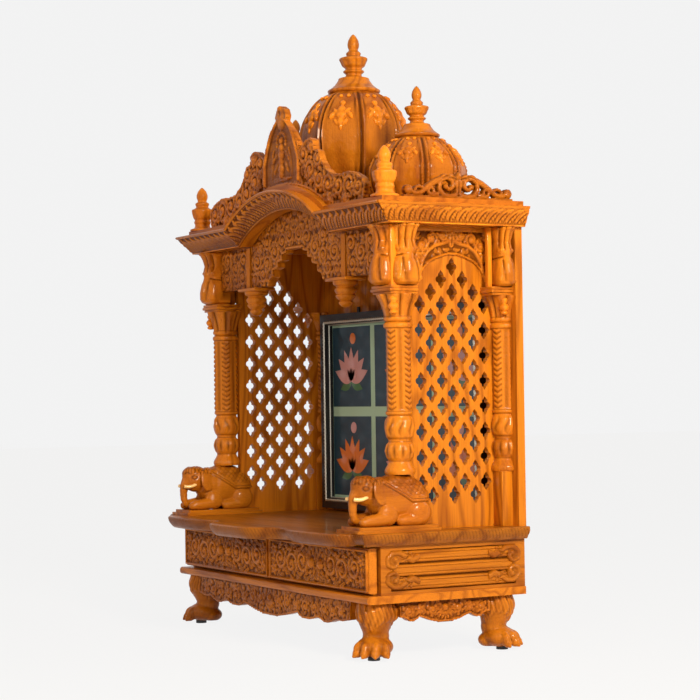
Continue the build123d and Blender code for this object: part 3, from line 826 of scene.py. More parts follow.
def plain(name, colour, roughness=0.5, coat=0.0, metallic=0.0, wear=0.0):
    shader = Shader(name)
    mottled = shader.noise(shader.place(), 60.0, 3.0)
    tint = shader.mix((mottled - 0.5) * wear + 0.5, four(colour, 1.15), four(colour, 0.85))
    return shader.set(
        Base_Color=tint, Roughness=mottled * 0.1 + roughness - 0.05, Coat_Weight=coat, Metallic=metallic,
    )


MATERIALS = {}


def material(name):
    if name not in MATERIALS:
        MATERIALS[name] = MAKERS[name]()
    return MATERIALS[name]


MAKERS = {
    "teak_up": lambda: teak("teak_up", "Z"),
    "teak_up_b": lambda: teak("teak_up_b", "Z", shift=0.37, figure=1.3),
    "teak_across": lambda: teak("teak_across", "X", shift=0.11),
    "teak_deep": lambda: teak("teak_deep", "Y", shift=0.23, shade=0.78),
    "teak_roof": lambda: teak("teak_roof", "X", warmth=1.25, shade=0.9, shift=0.5),
    "teak_ribbed": lambda: teak(
        "teak_ribbed", "Z", carved="rise", warmth=1.3, shade=0.85, shift=0.61, figure=0.7,
    ),
    "teak_dome": lambda: teak("teak_dome", "Z", warmth=1.3, shade=0.85, shift=0.61, figure=0.7),
    "teak_carved": lambda: teak("teak_carved", "X", carved="rise", shift=0.71, figure=0.5),
    "teak_turned": lambda: teak("teak_turned", "Z", carved="rise", shift=0.53, figure=0.5, shade=1.1),
    "teak_carved_up": lambda: teak("teak_carved_up", "Z", carved=True, shift=0.83, figure=0.5),
    "teak_console": lambda: teak("teak_console", "Z", carved="rise", shift=0.83, figure=0.6, shade=1.1),
    "teak_carved_roof": lambda: teak(
        "teak_carved_roof", "X", carved="rise", warmth=1.2, shade=1.08, shift=0.9,
    ),
    "teak_case": lambda: teak("teak_case", "Y", carved="rise", shift=0.47, figure=0.5, shade=0.84),
    "teak_scrolls": lambda: teak(
        "teak_scrolls", "Y", carved="rise", warmth=1.2, shift=0.57, figure=0.5, shade=0.74,
    ),
    "teak_drops": lambda: teak("teak_drops", "Z", carved=True, shade=1.35, shift=0.9, figure=0.5),
    "teak_carved_deep": lambda: teak(
        "teak_carved_deep", "Y", carved="rise", shift=0.47, figure=0.5, shade=1.1,
    ),
    "teak_animal": lambda: teak(
        "teak_animal", "Y", carved="rise", warmth=1.5, shift=0.17, figure=0.35, shade=0.8,
    ),
    "teak_pale": lambda: teak("teak_pale", "Z", shade=1.35, shift=0.77, figure=0.5),
    "teak_deck": lambda: teak("teak_deck", "X", carved="rise", shade=0.6, shift=0.27, gloss=0.8, figure=0.5),
    "print_dark": lambda: plain("print_dark", (0.008, 0.042, 0.075), 0.4, 0.15, wear=1.0),
    "print_pink": lambda: plain("print_pink", (0.62, 0.30, 0.32), 0.35, 0.4),
    "print_orange": lambda: plain("print_orange", (0.75, 0.18, 0.02), 0.35, 0.4),
    "print_green": lambda: plain("print_green", (0.05, 0.16, 0.06), 0.35, 0.4),
    "teak_inside": lambda: teak("teak_inside", "X", shade=1.1, gloss=3.0, shift=0.3),
    "tusk": lambda: plain("tusk", (0.83, 0.52, 0.18), 0.3, 0.6),
    "pad": lambda: plain("pad", (0.012, 0.012, 0.012), 0.6),
    "black": lambda: plain("black", (0.007, 0.006, 0.006), 0.42, 0.08),
    # A silver-grey colour that paints the glints of the black rope moulding.
    "silver": lambda: plain("silver", (0.62, 0.60, 0.52), 0.3, 0.2, 0.6),
    "mint": lambda: plain("mint", (0.42, 0.62, 0.50), 0.5),
    "hook": lambda: plain("hook", (0.02, 0.02, 0.02), 0.35, 0.2, 0.8),
}

NODE_FINISH = {
    "glide_pads": "pad", "tusks": "tusk", "picture_frame": "black", "picture_hooks": "hook",
    "picture_prints": "mint", "roof_slab": "teak_roof", "main_dome": "teak_dome", "small_domes": "teak_dome",
    "dome_drum": "teak_roof", "deck": "teak_across", "base_ledge": "teak_across", "case_left": "teak_deep",
    "case_right": "teak_deep", "case_back": "teak_across", "case_divider": "teak_inside",
    "drawer_box_left": "teak_inside", "drawer_box_right": "teak_inside", "drawer_front_left": "teak_across",
    "drawer_front_right": "teak_across", "apron_front": "teak_across", "apron_back": "teak_across",
    "apron_left": "teak_deep", "apron_right": "teak_deep", "elephant_plates": "teak_deep",
    "cornice": "teak_across", "arch_hood": "teak_across", "jali_left": "teak_up", "jali_right": "teak_up",
    "back_panel": "teak_up_b",
}


class SHRINE_OT_finish(bpy.types.Operator):
    """Gives every plain piece its wood, paper or metal finish"""
    bl_idname = "shrine.finish"
    bl_label = "Finish the plain pieces"

    def execute(self, context):
        for name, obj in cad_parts.items():
            finish = material(NODE_FINISH.get(name, "teak_up"))
            if not obj.material_slots:
                obj.data.materials.append(finish)
            for index in range(len(obj.material_slots)):
                obj.material_slots[index].material = finish
        return {"FINISHED"}


# Drawers, aprons, arch and cornice

class SHRINE_OT_drawers(bpy.types.Operator):
    """Carves scrolls, leaves and paired bosses on the drawer fronts"""
    bl_idname = "shrine.drawers"
    bl_label = "Drawer carving"

    def execute(self, context):
        low, high = box("drawer_front_right")
        relief = Relief(
            high[0] - low[0] - 2 * DRAWER_MARGIN, high[2] - low[2] - 2 * DRAWER_MARGIN, chosen_step(),
        )
        lift = chosen_depth(1.1)
        middle_u, middle_v = relief.width / 2, relief.tall / 2
        relief.ball(middle_u + 23, middle_v + 2, 13, lift * 1.8)
        for angle in np.linspace(-2.4, 0.9, 5):
            relief.leaf(
                middle_u + 23 + 14 * math.cos(angle), middle_v + 2 + 14 * math.sin(angle), angle + 0.5,
                17, 4.5, lift, 0.8,
            )
        for offset, up, radius, turns in ((70, 1, 29, 1.3), (126, -1, 29, -1.3), (182, 1, 27, 1.3)):
            relief.scroll(
                middle_u + offset, middle_v + up * 5, radius, up * 2.6, turns, 5.6, lift, leaves=6,
            )
        relief.flower(relief.width - 24, relief.tall - 24, 15, 6, lift)
        relief.flower(relief.width - 24, 24, 15, 6, lift)
        relief.fill(chooser(1), 10.0, 17.0, lift * 0.75)
        relief.twin()
        relief.bead(3.5, 3.5, lift * 0.9)
        relief.height += 0.3
        place = onto_front(low[0] + DRAWER_MARGIN, low[1], low[2] + DRAWER_MARGIN)
        piece = carve("drawer_carving_right", relief, place)
        pair(piece, "teak_carved", bodies=("drawer_right", "drawer_left"))
        return {"FINISHED"}


def apron_relief(name, across, lobes):
    low, high = box(name)
    relief = Relief(high[across] - low[across], high[2] - low[2] - 1.0, chosen_step())
    relief.outline_from(name, across)
    lift = chosen_depth(1.0)
    middle = relief.width / 2
    top = relief.tall
    for angle in np.linspace(-2.7, -0.44, 7):
        relief.leaf(middle, top * 0.62, angle, 24, 4.2, lift * 1.2)
    relief.ball(middle, top * 0.66, 8, lift * 1.5)
    for index, (offset, radius) in enumerate(lobes):
        hand = 1 if index % 2 == 0 else -1
        relief.scroll(
            middle + offset, top * 0.58, radius, 2.4 * hand, 1.25 * hand, 4.2, lift, leaves=5,
        )
    relief.fill(chooser(3), 9.5, 15.0, lift * 0.75)
    relief.twin()
    relief.bead(3.0, 3.0, lift * 0.8, relief.grid_v < top - 9)
    relief.height = softened(relief.height, 1) + 0.4
    return relief, low, high


class SHRINE_OT_aprons(bpy.types.Operator):
    """Carves the shaped aprons under the ledge"""
    bl_idname = "shrine.aprons"
    bl_label = "Apron carving"

    def execute(self, context):
        lobes = ((48, 15), (92, 14), (140, 12), (186, 15), (232, 14), (280, 14), (322, 13), (362, 11))
        relief, low, high = apron_relief("apron_front", 0, lobes)
        piece = carve("apron_carving_front", relief, onto_front(low[0], low[1], low[2]), back=-1.0)
        finish_piece(piece, "teak_carved")
        relief, low, high = apron_relief("apron_right", 1, ((34, 11), (66, 10), (98, 11)))
        piece = carve("apron_carving_right", relief, onto_right(high[0], low[1], low[2]), back=-1.0)
        pair(piece, "teak_carved_deep")
        return {"FINISHED"}


class SHRINE_OT_arch(bpy.types.Operator):
    """Carves the cusped arch board and reeds its two strips"""
    bl_idname = "shrine.arch"
    bl_label = "Arch board carving"

    def execute(self, context):
        low, high = box("arch_board")
        relief = Relief(high[0] - low[0], high[2] - low[2], chosen_step())
        relief.outline_from("arch_board", 0)
        lift = chosen_depth(1.05)
        middle = relief.width / 2
        strip = box("pendants")[1][0] - 34
        scrolls = (
            (26, 122, 19, 1), (66, 112, 21, -1), (108, 84, 22, 1), (150, 62, 20, -1), (172, 30, 20, 1),
            (206, 66, 22, 1), (218, 24, 16, -1), (286, 78, 22, -1), (292, 30, 20, 1), (334, 56, 22, 1),
            (380, 82, 20, -1), (384, 32, 22, 1), (150, 110, 18, 1), (195, 98, 12, -1),
        )
        for offset, up, radius, hand in scrolls:
            relief.scroll(middle + offset, up, radius, 2.2 * hand, 1.3 * hand, 4.8, lift, leaves=6)
        relief.fill(chooser(5), 10.0, 16.0, lift * 0.75)
        relief.twin()
        below_hood = relief.grid_v < wall_top() - low[2] - 2
        rolls = np.abs(np.sin(relief.grid_v * math.pi / 9.5))
        distance = relief.edge_distance(14)
        inner = (np.abs(relief.grid_u - middle) < 150) & below_hood
        near = np.clip(1 - np.abs(distance - 5) / 6, 0, 1) * inner
        relief.height = np.maximum(relief.height, near * (3.0 + 4.0 * rolls))
        beside_strip = np.abs(np.abs(relief.grid_u - middle) - strip) < 11
        relief.height = np.where(beside_strip, 0, relief.height)
        relief.height = softened(relief.height, 1) + 0.4
        face = low[1] + 5.0
        piece = carve("arch_carving", relief, onto_front(low[0], face, low[2]), back=-1.5)
        finish_piece(piece, "teak_carved")
        reeds = Relief(18, wall_top() - low[2] - 6, 1.0, (1, 8))
        for offset in (3.5, 9, 14.5):
            reeds.height = np.maximum(
                reeds.height, 3.0 * np.sqrt(np.clip(1 - ((reeds.grid_u - offset) / 2.6) ** 2, 0, None)),
            )
        reeds.height += 0.4
        place = onto_front(strip - 9, low[1], low[2] + 2)
        piece = carve("arch_reeds_right", reeds, place, back=-1.0)
        pair(piece, "teak_up")
        return {"FINISHED"}


def cornice_relief(width, tall):
    # Broad leaning acanthus leaves, small ones between, a bottom bead and a plain top fillet.
    relief = Relief(width, tall, chosen_step(0.9))
    lift = chosen_depth(0.8)
    count = int(round(width / CORNICE_LEAF_PITCH))
    pitch = width / count
    for index in range(-1, count + 1):
        start = (index + 0.05) * pitch
        relief.leaf(start, 6, 1.1, tall * 0.98, 11.5, lift, -0.7)
        relief.leaf(start + pitch * 0.52, 5, 1.1, tall * 0.80, 7.5, lift * 0.85, -0.2)
        for step in range(4):
            spot = start + (2 + 6.5 * step)
            vein = [(spot + k * 1.2, 12 + 6 * step - k * 1.6) for k in range(5)]
            relief.cut(vein, 1.9, lift * 0.35)
        relief.ball(start + pitch * 0.34, tall - 11, 4.6, lift * 1.05)
        relief.ball(start + pitch * 0.92, 13, 3.8, lift * 0.8)
    relief.height = np.maximum(relief.height, lift * 0.3)
    relief.height = np.where(relief.grid_v > tall - 7, lift * 0.75, relief.height)
    bead = 2.4 * np.sqrt(np.clip(1 - ((relief.grid_v - 2.5) / 2.6) ** 2, 0, None))
    relief.height = np.where(relief.grid_v < 5, bead, relief.height)
    relief.height = softened(relief.height, 1) + 0.3
    return relief


class SHRINE_OT_cornice(bpy.types.Operator):
    """Carves leaning leaves along the cornice and over the hood"""
    bl_idname = "shrine.cornice"
    bl_label = "Cornice and hood carving"

    def execute(self, context):
        low, high = box("cornice")
        hood_high = box("arch_hood")[1]
        half_in, half_out = CORNICE_HALF_IN, high[0] - CORNICE_INSET
        front_in, front_out = CORNICE_FRONT_IN + depth_shift(), low[1]
        z0, z1 = low[2], high[2]
        back = high[1]
        hood_half = hood_high[0]
        rise = hood_high[2] - box("roof_slab")[1][2]
        radius = (hood_half ** 2 + rise ** 2) / (2 * rise)
        tall = math.hypot(front_in - front_out, z1 - z0)
        n_out, n_down = (z1 - z0) / tall, (front_in - front_out) / tall

        width = half_out - hood_half
        relief = cornice_relief(width, tall)

        def onto_straight(u, v, h):
            t = v / tall
            end = half_in + (half_out - half_in) * t
            x = hood_half + u * (end - hood_half) / width
            y = front_in + (front_out - front_in) * t - h * n_out
            return x, y, z0 + (z1 - z0) * t - h * n_down

        foot, head, edge = z0 - 0.4, z0 + 3.0, half_in + 4.6
        fillet = joined("cornice_fillet_right", [
            board("strip", (hood_half, front_in - 4.6, foot), (edge, front_in, head), 0.8, 1),
            board("strip", (half_in, front_in - 4.0, foot), (edge, back, head), 0.8, 1),
        ])
        pair(fillet, "teak_pale")
        piece = carve("cornice_carving_front_right", relief, onto_straight, back=-1.0)
        pair(piece, "teak_carved")

        side_tall = math.hypot(half_out - half_in, z1 - z0)
        s_out, s_down = (z1 - z0) / side_tall, (half_out - half_in) / side_tall
        length = back - front_out
        relief = cornice_relief(length, side_tall)

        def onto_side(u, v, h):
            t = v / side_tall
            begin = front_in + (front_out - front_in) * t
            y = begin + u * (back - begin) / length
            x = half_in + (half_out - half_in) * t + h * s_out
            return x, y, z0 + (z1 - z0) * t - h * s_down

        piece = carve("cornice_carving_right", relief, onto_side, back=-1.0)
        pair(piece, "teak_carved_deep")

        relief = cornice_relief(math.asin(hood_half / radius) * radius, tall)

        def onto_hood(u, v, h):
            angle = u / radius
            t = v / tall
            x = radius * np.sin(angle) - h * n_down * np.sin(angle)
            up = radius * np.cos(angle) - (radius - rise)
            y = front_in + (front_out - front_in) * t - h * n_out
            return x, y, z0 + (z1 - z0) * t + up - h * n_down * np.cos(angle)

        piece = carve("hood_carving_right", relief, onto_hood, back=-1.0)
        pair(piece, "teak_carved")
        return {"FINISHED"}


# Columns

def column_shape(bottom):
    def shape(angle, level, radius):
        z = level - bottom
        out = np.zeros(len(z))
        out += 2.6 * (np.abs(np.cos(5 * angle)) ** 0.8 - 0.4) * window(z, 34, 74)
        vase = window(z, 84, 134)
        leaf = np.abs(np.cos(4 * angle + 0.6 * np.sin((z - 86) / 8)))
        out += 3.0 * (leaf - 0.35) * vase
        band = angle / (2 * math.pi) * SHAFT_BANDS
        local = band - np.floor(band) - 0.5
        rope = (np.floor(band) % 2 == 0)
        on_shaft = np.clip((z - 142) / 6, 0, 1) * np.clip((336 - z) / 6, 0, 1)
        twist = 1.6 + 1.7 * np.sin(2 * math.pi * (z / 12.5 - 1.1 * np.abs(local)))
        cord = twist * np.clip(1 - (np.abs(local) / 0.5) ** 3, 0, 1)
        flute = -2.4 * np.cos(math.pi * local) ** 0.7 + 0.8
        out += np.where(rope, cord, flute) * on_shaft
        # Painted shade: darker in the troughs of the cords, the flutes, the gaps between leaves and the ring
        # grooves.
        crest_of_cord = 0.5 + 0.5 * np.sin(2 * math.pi * (z / 12.5 - 1.1 * np.abs(local)))
        dark = np.where(rope, 1 - crest_of_cord ** 0.6, 0.7 * np.cos(math.pi * local) ** 2) * on_shaft
        dark = np.maximum(dark, (1 - np.abs(np.cos(5 * angle))) * window(z, 34, 74))
        dark = np.maximum(dark, (1 - leaf) ** 1.5 * vase)
        cup = np.clip((z - 352) / 12, 0, 1) * np.clip((414 - z) / 3, 0, 1)
        leaf = np.abs(np.cos(4 * angle)) ** 0.7
        tip = 1 + 1.2 * np.clip((z - 392) / 20, 0, 1)
        out += (3.6 * leaf * tip - 2.0) * cup
        out += 0.9 * np.sin(16 * angle) * cup
        dark = np.maximum(dark, (1 - leaf) * cup)
        for ring in (31, 75, 83, 135, 144, 335, 349, 361):
            dark = np.maximum(dark, 0.8 * np.exp(-((z - ring) / 1.6) ** 2))
        return out, 0.85 - 0.85 * dark
    return shape


COLUMN_PROFILE = (
    (34, 0), (36, 6), (35, 12), (30, 20), (26, 28), (26, 32), (30, 37), (34, 53), (31, 68), (26, 73),
    (25, 78), (27, 81), (31, 86), (34, 104), (32, 124), (27, 132), (27, 135), (32, 138), (32, 142),
    (29, 145), (29, 190), (29, 240), (29, 290), (29, 330), (29, 333), (34, 337), (34, 345), (28, 349),
    (33, 353), (33, 358), (30, 362), (32, 372), (36, 386), (42, 402), (45, 412),
)


def figure_drop(name, centre):
    # The small turned drop that hangs at the corner of a capital.
    profile = (
        (4, 0), (9, 2), (10, 6), (6, 9), (10, 12), (13, 18), (10, 24), (6, 27), (8, 30), (10, 34), (8, 39),
        (2, 42),
    )
    return spun(name, profile, 20, centre, step=1.5)


class SHRINE_OT_columns(bpy.types.Operator):
    """Turns and carves the columns and their rear halves"""
    bl_idname = "shrine.columns"
    bl_label = "Columns"

    def execute(self, context):
        bottom = box("column_right")[0][2]
        centre_x, centre_y = COLUMN_X, COLUMN_Y + depth_shift()
        (jali_in, wall_front, _), (jali_out, _, _) = box("jali_right")
        panel_front = box("back_panel")[0][1]
        # The shape function is given levels already lifted to their place.
        shape = column_shape(bottom)
        profile = [(r, z + bottom) for r, z in COLUMN_PROFILE]
        piece = spun("turned_column_right", profile, COLUMN_STEPS, (centre_x, centre_y, 0), shape, 2.2)
        split(piece, (centre_x, wall_front - 0.5, bottom), (0, 1, 0))
        pair(piece, "teak_turned", ("column_right",))
        drop = figure_drop("capital_drop_right", (centre_x + 29, centre_y - 29, bottom + DROP_LEVEL))
        pair(drop, "teak_pale")
        rear = spun("rear_half_column_right", profile, COLUMN_STEPS, (centre_x, panel_front, 0), shape, 2.2)
        split(rear, (centre_x, panel_front, bottom), (0, 1, 0))
        inner = copied(rear, "rear_inner_column_right")
        split(rear, (jali_out, 0, bottom), (-1, 0, 0))
        split(inner, (jali_in, 0, bottom), (1, 0, 0))
        deck_top = box("deck")[1][2]
        block = board(
            "rear_block_right", (jali_out, panel_front - 30, deck_top),
            (centre_x + 30, panel_front, bottom), 1.5,
        )
        pair(rear, "teak_turned", ("rear_columns",))
        pair(inner, "teak_turned")
        pair(block, "teak_up")
        inner_block = board(
            "rear_inner_block_right", (jali_in - 6, panel_front - 30, deck_top),
            (jali_in, panel_front, bottom), 1.0,
        )
        pair(inner_block, "teak_up")
        drop = figure_drop("rear_drop_right", (centre_x + 33, panel_front - 20, bottom + DROP_LEVEL))
        pair(drop, "teak_pale")
        return {"FINISHED"}


def console_piece(name, centre, turn, low, high, slim=1.0):
    """A bulbous leaf console, standing out from a post in one direction."""
    tall = high - low
    across, up = 48, 104
    levels = np.linspace(0, tall, up)
    t = levels / tall
    marks = (0.0, 0.03, 0.09, 0.22, 0.38, 0.52, 0.60, 0.66, 0.74, 0.86, 1.0)
    reach_at = (54, 64, 69, 70, 66, 57, 60, 58, 54, 59, 69)
    half_at = (27, 33, 36, 36, 33, 27, 29, 28, 25, 28, 33)
    reach = softened(np.tile(np.interp(t, marks, reach_at), (3, 1)), 4)[1]
    half = softened(np.tile(np.interp(t, marks, half_at), (3, 1)), 4)[1] * slim
    angle = math.pi * (np.arange(across + 1) / across - 0.5)
    t, angle = np.meshgrid(t, angle, indexing="ij")
    round_out = np.abs(np.cos(angle)) ** 0.45
    side = np.copysign(np.abs(np.sin(angle)) ** 0.9, np.sin(angle))
    beside = np.abs(angle)
    fan = np.clip((t - 0.56 - 0.07 * np.cos(angle * 5) ** 2) / 0.08, 0, 1)
    flutes = 9.0 * (np.abs(np.cos(angle * 5)) ** 0.7 - 0.72) * fan
    lobes = 5.5 * (np.abs(np.cos(angle * 3 + math.pi / 2 * (t - 0.3))) ** 0.6 - 0.85)
    lobes *= np.clip((0.50 - t) / 0.06, 0, 1) * np.clip((t - 0.04) / 0.05, 0, 1)
    lip = 3.0 * np.exp(-((t - 0.97) / 0.02) ** 2) * fan
    bud = 7.0 * np.exp(-((t - 0.60) / 0.04) ** 2 - ((beside - 0.9) / 0.25) ** 2)
    eye = -3.5 * np.exp(-((t - 0.595) / 0.016) ** 2 - ((beside - 0.92) / 0.10) ** 2)
    slit = -5.0 * np.exp(-((t - 0.52 + 0.04 * beside) / 0.013) ** 2) * np.clip((beside - 0.35) / 0.3, 0, 1)
    tongue = 3.0 * np.exp(-((t - 0.53) / 0.06) ** 2 - (beside / 0.28) ** 2)
    curl = 5.5 * np.exp(-((t - 0.10) / 0.05) ** 2 - ((beside - 1.0) / 0.22) ** 2)
    vein = -1.8 * np.exp(-((beside - 0.62 - 0.5 * (0.3 - t)) / 0.05) ** 2) * (t > 0.06) * (t < 0.44)
    carved = flutes + lobes + lip + bud + eye + slit + tongue + curl + vein
    out = (reach[:, None] + carved) * round_out
    wide = (half[:, None] + 0.5 * carved) * side
    points = list(zip(out.ravel(), wide.ravel(), np.repeat(low + levels, across + 1)))
    cosine, sine = math.cos(turn), math.sin(turn)
    placed = [
        ((centre[0] + x * cosine - y * sine) * MM, (centre[1] + x * sine + y * cosine) * MM, z * MM)
        for x, y, z in points
    ]
    obj = mesh_piece(name, placed, ring_faces(up, across + 1))
    # Painted shade where the carving sinks in.
    mark(obj, np.clip(0.80 + 0.17 * np.minimum(carved, 0), 0.08, 1).ravel())
    clean(obj, 0.00002)
    smooth(obj, 45)
    return obj


class SHRINE_OT_brackets(bpy.types.Operator):
    """Shapes the bracket blocks with their leaf consoles"""
    bl_idname = "shrine.brackets"
    bl_label = "Bracket blocks"

    def execute(self, context):
        low, high = box("bracket_right")
        top = high[2]
        abacus_low = low[2]
        abacus_top = abacus_low + ABACUS_LAYERS[-1][2]
        jali_front = box("jali_right")[0][1]
        jali_out = box("jali_right")[1][0]
        panel_front = box("back_panel")[0][1]
        centre = (COLUMN_X, COLUMN_Y + depth_shift())
        body_post = board(
            "bracket_post_right", (centre[0] - POST_HALF, centre[1] - POST_HALF, abacus_top),
            (centre[0] + POST_HALF, centre[1] + POST_HALF, top), 1.5,
        )
        strip = board(
            "bracket_strip_right", (centre[0] + 25, centre[1] - 39, abacus_top),
            (centre[0] + 39, centre[1] - 25, top - 0.5), 1.0,
        )
        slabs = []
        for extra, foot, head in ABACUS_LAYERS:
            half = ABACUS_HALF + extra
            slabs.append(board(
                "abacus_layer", (centre[0] - half, centre[1] - half, abacus_low + foot),
                (centre[0] + half, min(centre[1] + half, jali_front - 0.2), abacus_low + head), 1.6,
            ))
        abacus = joined("abacus_right", slabs)
        pair(body_post, "teak_up", ("bracket_right",))
        pair(strip, "teak_pale")
        pair(abacus, "teak_across")
        console_low, console_top = abacus_top + 1.0, top - 1.0
        made = (
            ("console_side_right", centre, 0.0), ("console_front_right", centre, -math.pi / 2),
        )
        for name, spot, turn in made:
            piece = console_piece(name, spot, turn, console_low, console_top)
            pair(piece, "teak_console")
        rear = console_piece(
            "console_rear_right", (centre[0], panel_front - 22), 0.0, console_low, console_top, 0.72,
        )
        rear_post = board(
            "rear_post_right", (jali_out, panel_front - POST_HALF, abacus_top),
            (centre[0] + POST_HALF, panel_front, top), 1.0,
        )
        slabs = []
        for extra, foot, head in ABACUS_LAYERS:
            half = ABACUS_HALF + extra
            slabs.append(board(
                "abacus_layer", (jali_out, panel_front - half - 14, abacus_low + foot),
                (centre[0] + half, panel_front, abacus_low + head), 1.6,
            ))
        rear_abacus = joined("rear_abacus_right", slabs)
        rear_strip = board(
            "rear_strip_right", (centre[0] + 14, panel_front - 58, abacus_top),
            (centre[0] + 27, panel_front - 47, top - 0.5), 1.0,
        )
        pair(rear, "teak_console", ("rear_brackets",))
        pair(rear_post, "teak_up")
        pair(rear_abacus, "teak_across")
        pair(rear_strip, "teak_pale")
        return {"FINISHED"}


class SHRINE_OT_spandrels(bpy.types.Operator):
    """Carves the scrolls over the lattice walls; the openwork's gaps stay solid and low, painted dark as
    shade
    """
    bl_idname = "shrine.spandrels"
    bl_label = "Spandrels"

    def execute(self, context):
        low, high = box("spandrel_right")
        # The gaps between the scrolls are not pierced: their low ground is painted dark as shade.
        relief = Relief(high[1] - low[1], high[2] - low[2], chosen_step(0.9))
        relief.outline_from("spandrel_right", 1)
        lift = chosen_depth(1.0)
        middle = relief.width / 2
        for offset, up, radius, hand in (
            (24, 116, 13, 1), (54, 108, 15, -1), (80, 92, 14, 1), (93, 64, 12, -1), (101, 38, 10, 1),
            (105, 13, 8, -1), (104, 116, 11, 1),
        ):
            relief.scroll(middle + offset, up, radius, 2.2 * hand, 1.15 * hand, 5.6, lift * 1.2, leaves=3)
        relief.stroke(
            [(middle, 106), (middle + 22, 98), (middle + 46, 92), (middle + 66, 78), (middle + 80, 56),
             (middle + 88, 30), (middle + 94, 4)], 5.0, lift * 1.1,
        )
        relief.leaf(middle, relief.tall - 44, math.pi / 2, 36, 9, lift * 1.3)
        relief.fill(chooser(8), 13.0, 15.0, lift * 0.7, bare=0.2)
        relief.twin()
        relief.bead(3.0, 3.0, lift)
        relief.height = np.where(relief.grid_v > relief.tall - 10, lift * 0.9, relief.height)
        relief.height = np.where(np.abs(relief.grid_u - middle) > middle - 7, lift * 0.9, relief.height)
        relief.height = softened(relief.height, 1) + 2.0
        place = onto_right(low[0], low[1], low[2])
        piece = carve("spandrel_carving_right", relief, place, back=0.0)
        pair(piece, "teak_carved_deep", ("spandrel_right",))
        return {"FINISHED"}


class SHRINE_OT_crests(bpy.types.Operator):
    """Carves the front crest with its plaque, and the scrolled side crests"""
    bl_idname = "shrine.crests"
    bl_label = "Crests"

    def execute(self, context):
        low, high = box("front_crest")
        relief = Relief(high[0] - low[0], high[2] - low[2], chosen_step(1.1))
        relief.outline_from("front_crest", 0)
        solid = relief.field.copy()
        lift = chosen_depth(1.3)
        middle = relief.width / 2
        base = low[2]
        plaque_low, plaque_top = 1128 - base, 1276 - base
        for offset, up, radius, hand in (
            (118, 1190, 24, 1), (150, 1150, 22, -1), (192, 1170, 18, 1), (196, 1120, 22, 1),
            (240, 1105, 24, -1), (290, 1096, 24, 1), (340, 1094, 24, -1), (384, 1084, 20, 1),
            (245, 1065, 12, 1), (320, 1062, 12, -1), (155, 1205, 12, 1),
        ):
            relief.scroll(middle + offset, up - base, radius, 2.4 * hand, 1.3 * hand, 6.2, lift, leaves=6)
        relief.fill(chooser(9), 12.0, 20.0, lift * 0.85)
        relief.twin()
        pierced = softened(relief.height, 1) / lift - 0.10
        across = np.abs(relief.grid_u - middle)
        up = relief.grid_v
        ogee = 95 * np.clip((plaque_top + 14 - up) / (plaque_top + 14 - 1180 + base), 0, 1) ** 0.42
        plaque = (across < ogee) & (up > plaque_low)
        rim = plaque & (across > ogee - 9)
        relief.height = np.where(plaque, 2.0, relief.height)
        relief.height = np.where(rim, lift * 1.1, relief.height)
        for angle in np.linspace(-0.3, math.pi + 0.3, 11):
            relief.ball(middle + 24 * math.cos(angle), 1232 - base + 24 * math.sin(angle), 4.5, lift * 0.9)
        for level, radius in ((1236, 9), (1217, 12), (1200, 15), (1184, 12), (1166, 14), (1150, 11)):
            relief.ball(middle, level - base, radius, lift * 1.2)
        for sign in (-1, 1):
            relief.leaf(middle + sign * 8, 1212 - base, math.pi / 2 - sign * 1.9, 44, 6, lift, -sign * 0.7)
            relief.leaf(middle + sign * 8, 1190 - base, math.pi / 2 - sign * 2.2, 44, 5.5, lift, -sign * 0.5)
            relief.leaf(middle + sign * 52, 1138 - base, math.pi / 2, 78, 6, lift * 0.9, sign * 0.3)
        relief.leaf(middle - 50, 1139 - base, 0.0, 100, 6, lift)
        relief.leaf(middle, 1270 - base, math.pi / 2, 50, 22, lift * 1.2, 0.25)
        relief.ball(middle, 1282 - base, 22, lift)
        inner_solid = (across < ogee + 6) & (up > plaque_low - 14) | (up > plaque_top - 12)
        edge = relief.edge_distance(9)
        frame_strip = (edge > 0) & (edge < 7)
        pierced = np.where(inner_solid | frame_strip, 1.0, pierced)
        relief.bead(3.6, 3.6, lift * 0.7)
        relief.field = np.minimum(solid, pierced)
        relief.height = softened(relief.height, 1) + 1.0
        place = onto_front(low[0], low[1] + 8, low[2])
        piece = carve("crest_carving", relief, place, back=-(high[1] - low[1] - 8))
        finish_piece(piece, "teak_carved_roof", ("front_crest",))

        low, high = box("side_crests")
        relief = Relief(high[1] - low[1], high[2] - low[2] - 1, chosen_step(0.9))
        middle = relief.width / 2
        lift = chosen_depth(1.6)
        for path, thick in (
            (
                ((10, 8), (24, 5), (42, 8), (53, 22), (50, 40),
                 (34, 50), (18, 43), (15, 28), (26, 20), (35, 28)), 7.5,
            ),
            (((48, 44), (64, 38), (82, 27), (100, 13), (118, 9), (132, 15)), 8.5),
            (((58, 10), (72, 6), (84, 13), (80, 24), (69, 22), (68, 14)), 6.0),
            (((96, 22), (106, 26), (116, 24), (118, 18)), 5.0),
        ):
            relief.stroke([(middle + u, v) for u, v in path], thick, lift)
        relief.ball(relief.width - 13, 17, 12, lift * 1.3)
        relief.leaf(middle, 12, math.pi / 2, 48, 11, lift * 1.3)
        relief.leaf(middle + 4, 44, 0.55, 34, 8, lift * 1.15, -1.1)
        relief.leaf(middle + 22, 52, 0.1, 34, 6.5, lift * 1.1, -0.9)
        foot = relief.grid_v < 7
        relief.height = np.where(foot, np.maximum(relief.height, lift * 0.6), relief.height)
        relief.twin()
        relief.field = softened(relief.height, 1) / lift - 0.28
        relief.height = softened(relief.height, 1) * 0.9
        right_low = high[0] - 16.0
        place = onto_right(right_low + 8, low[1], low[2])
        piece = carve("side_crest_carving_right", relief, place, back=-8.0)
        pair(piece, "teak_scrolls", ("side_crests",))
        return {"FINISHED"}


# Domes and finials

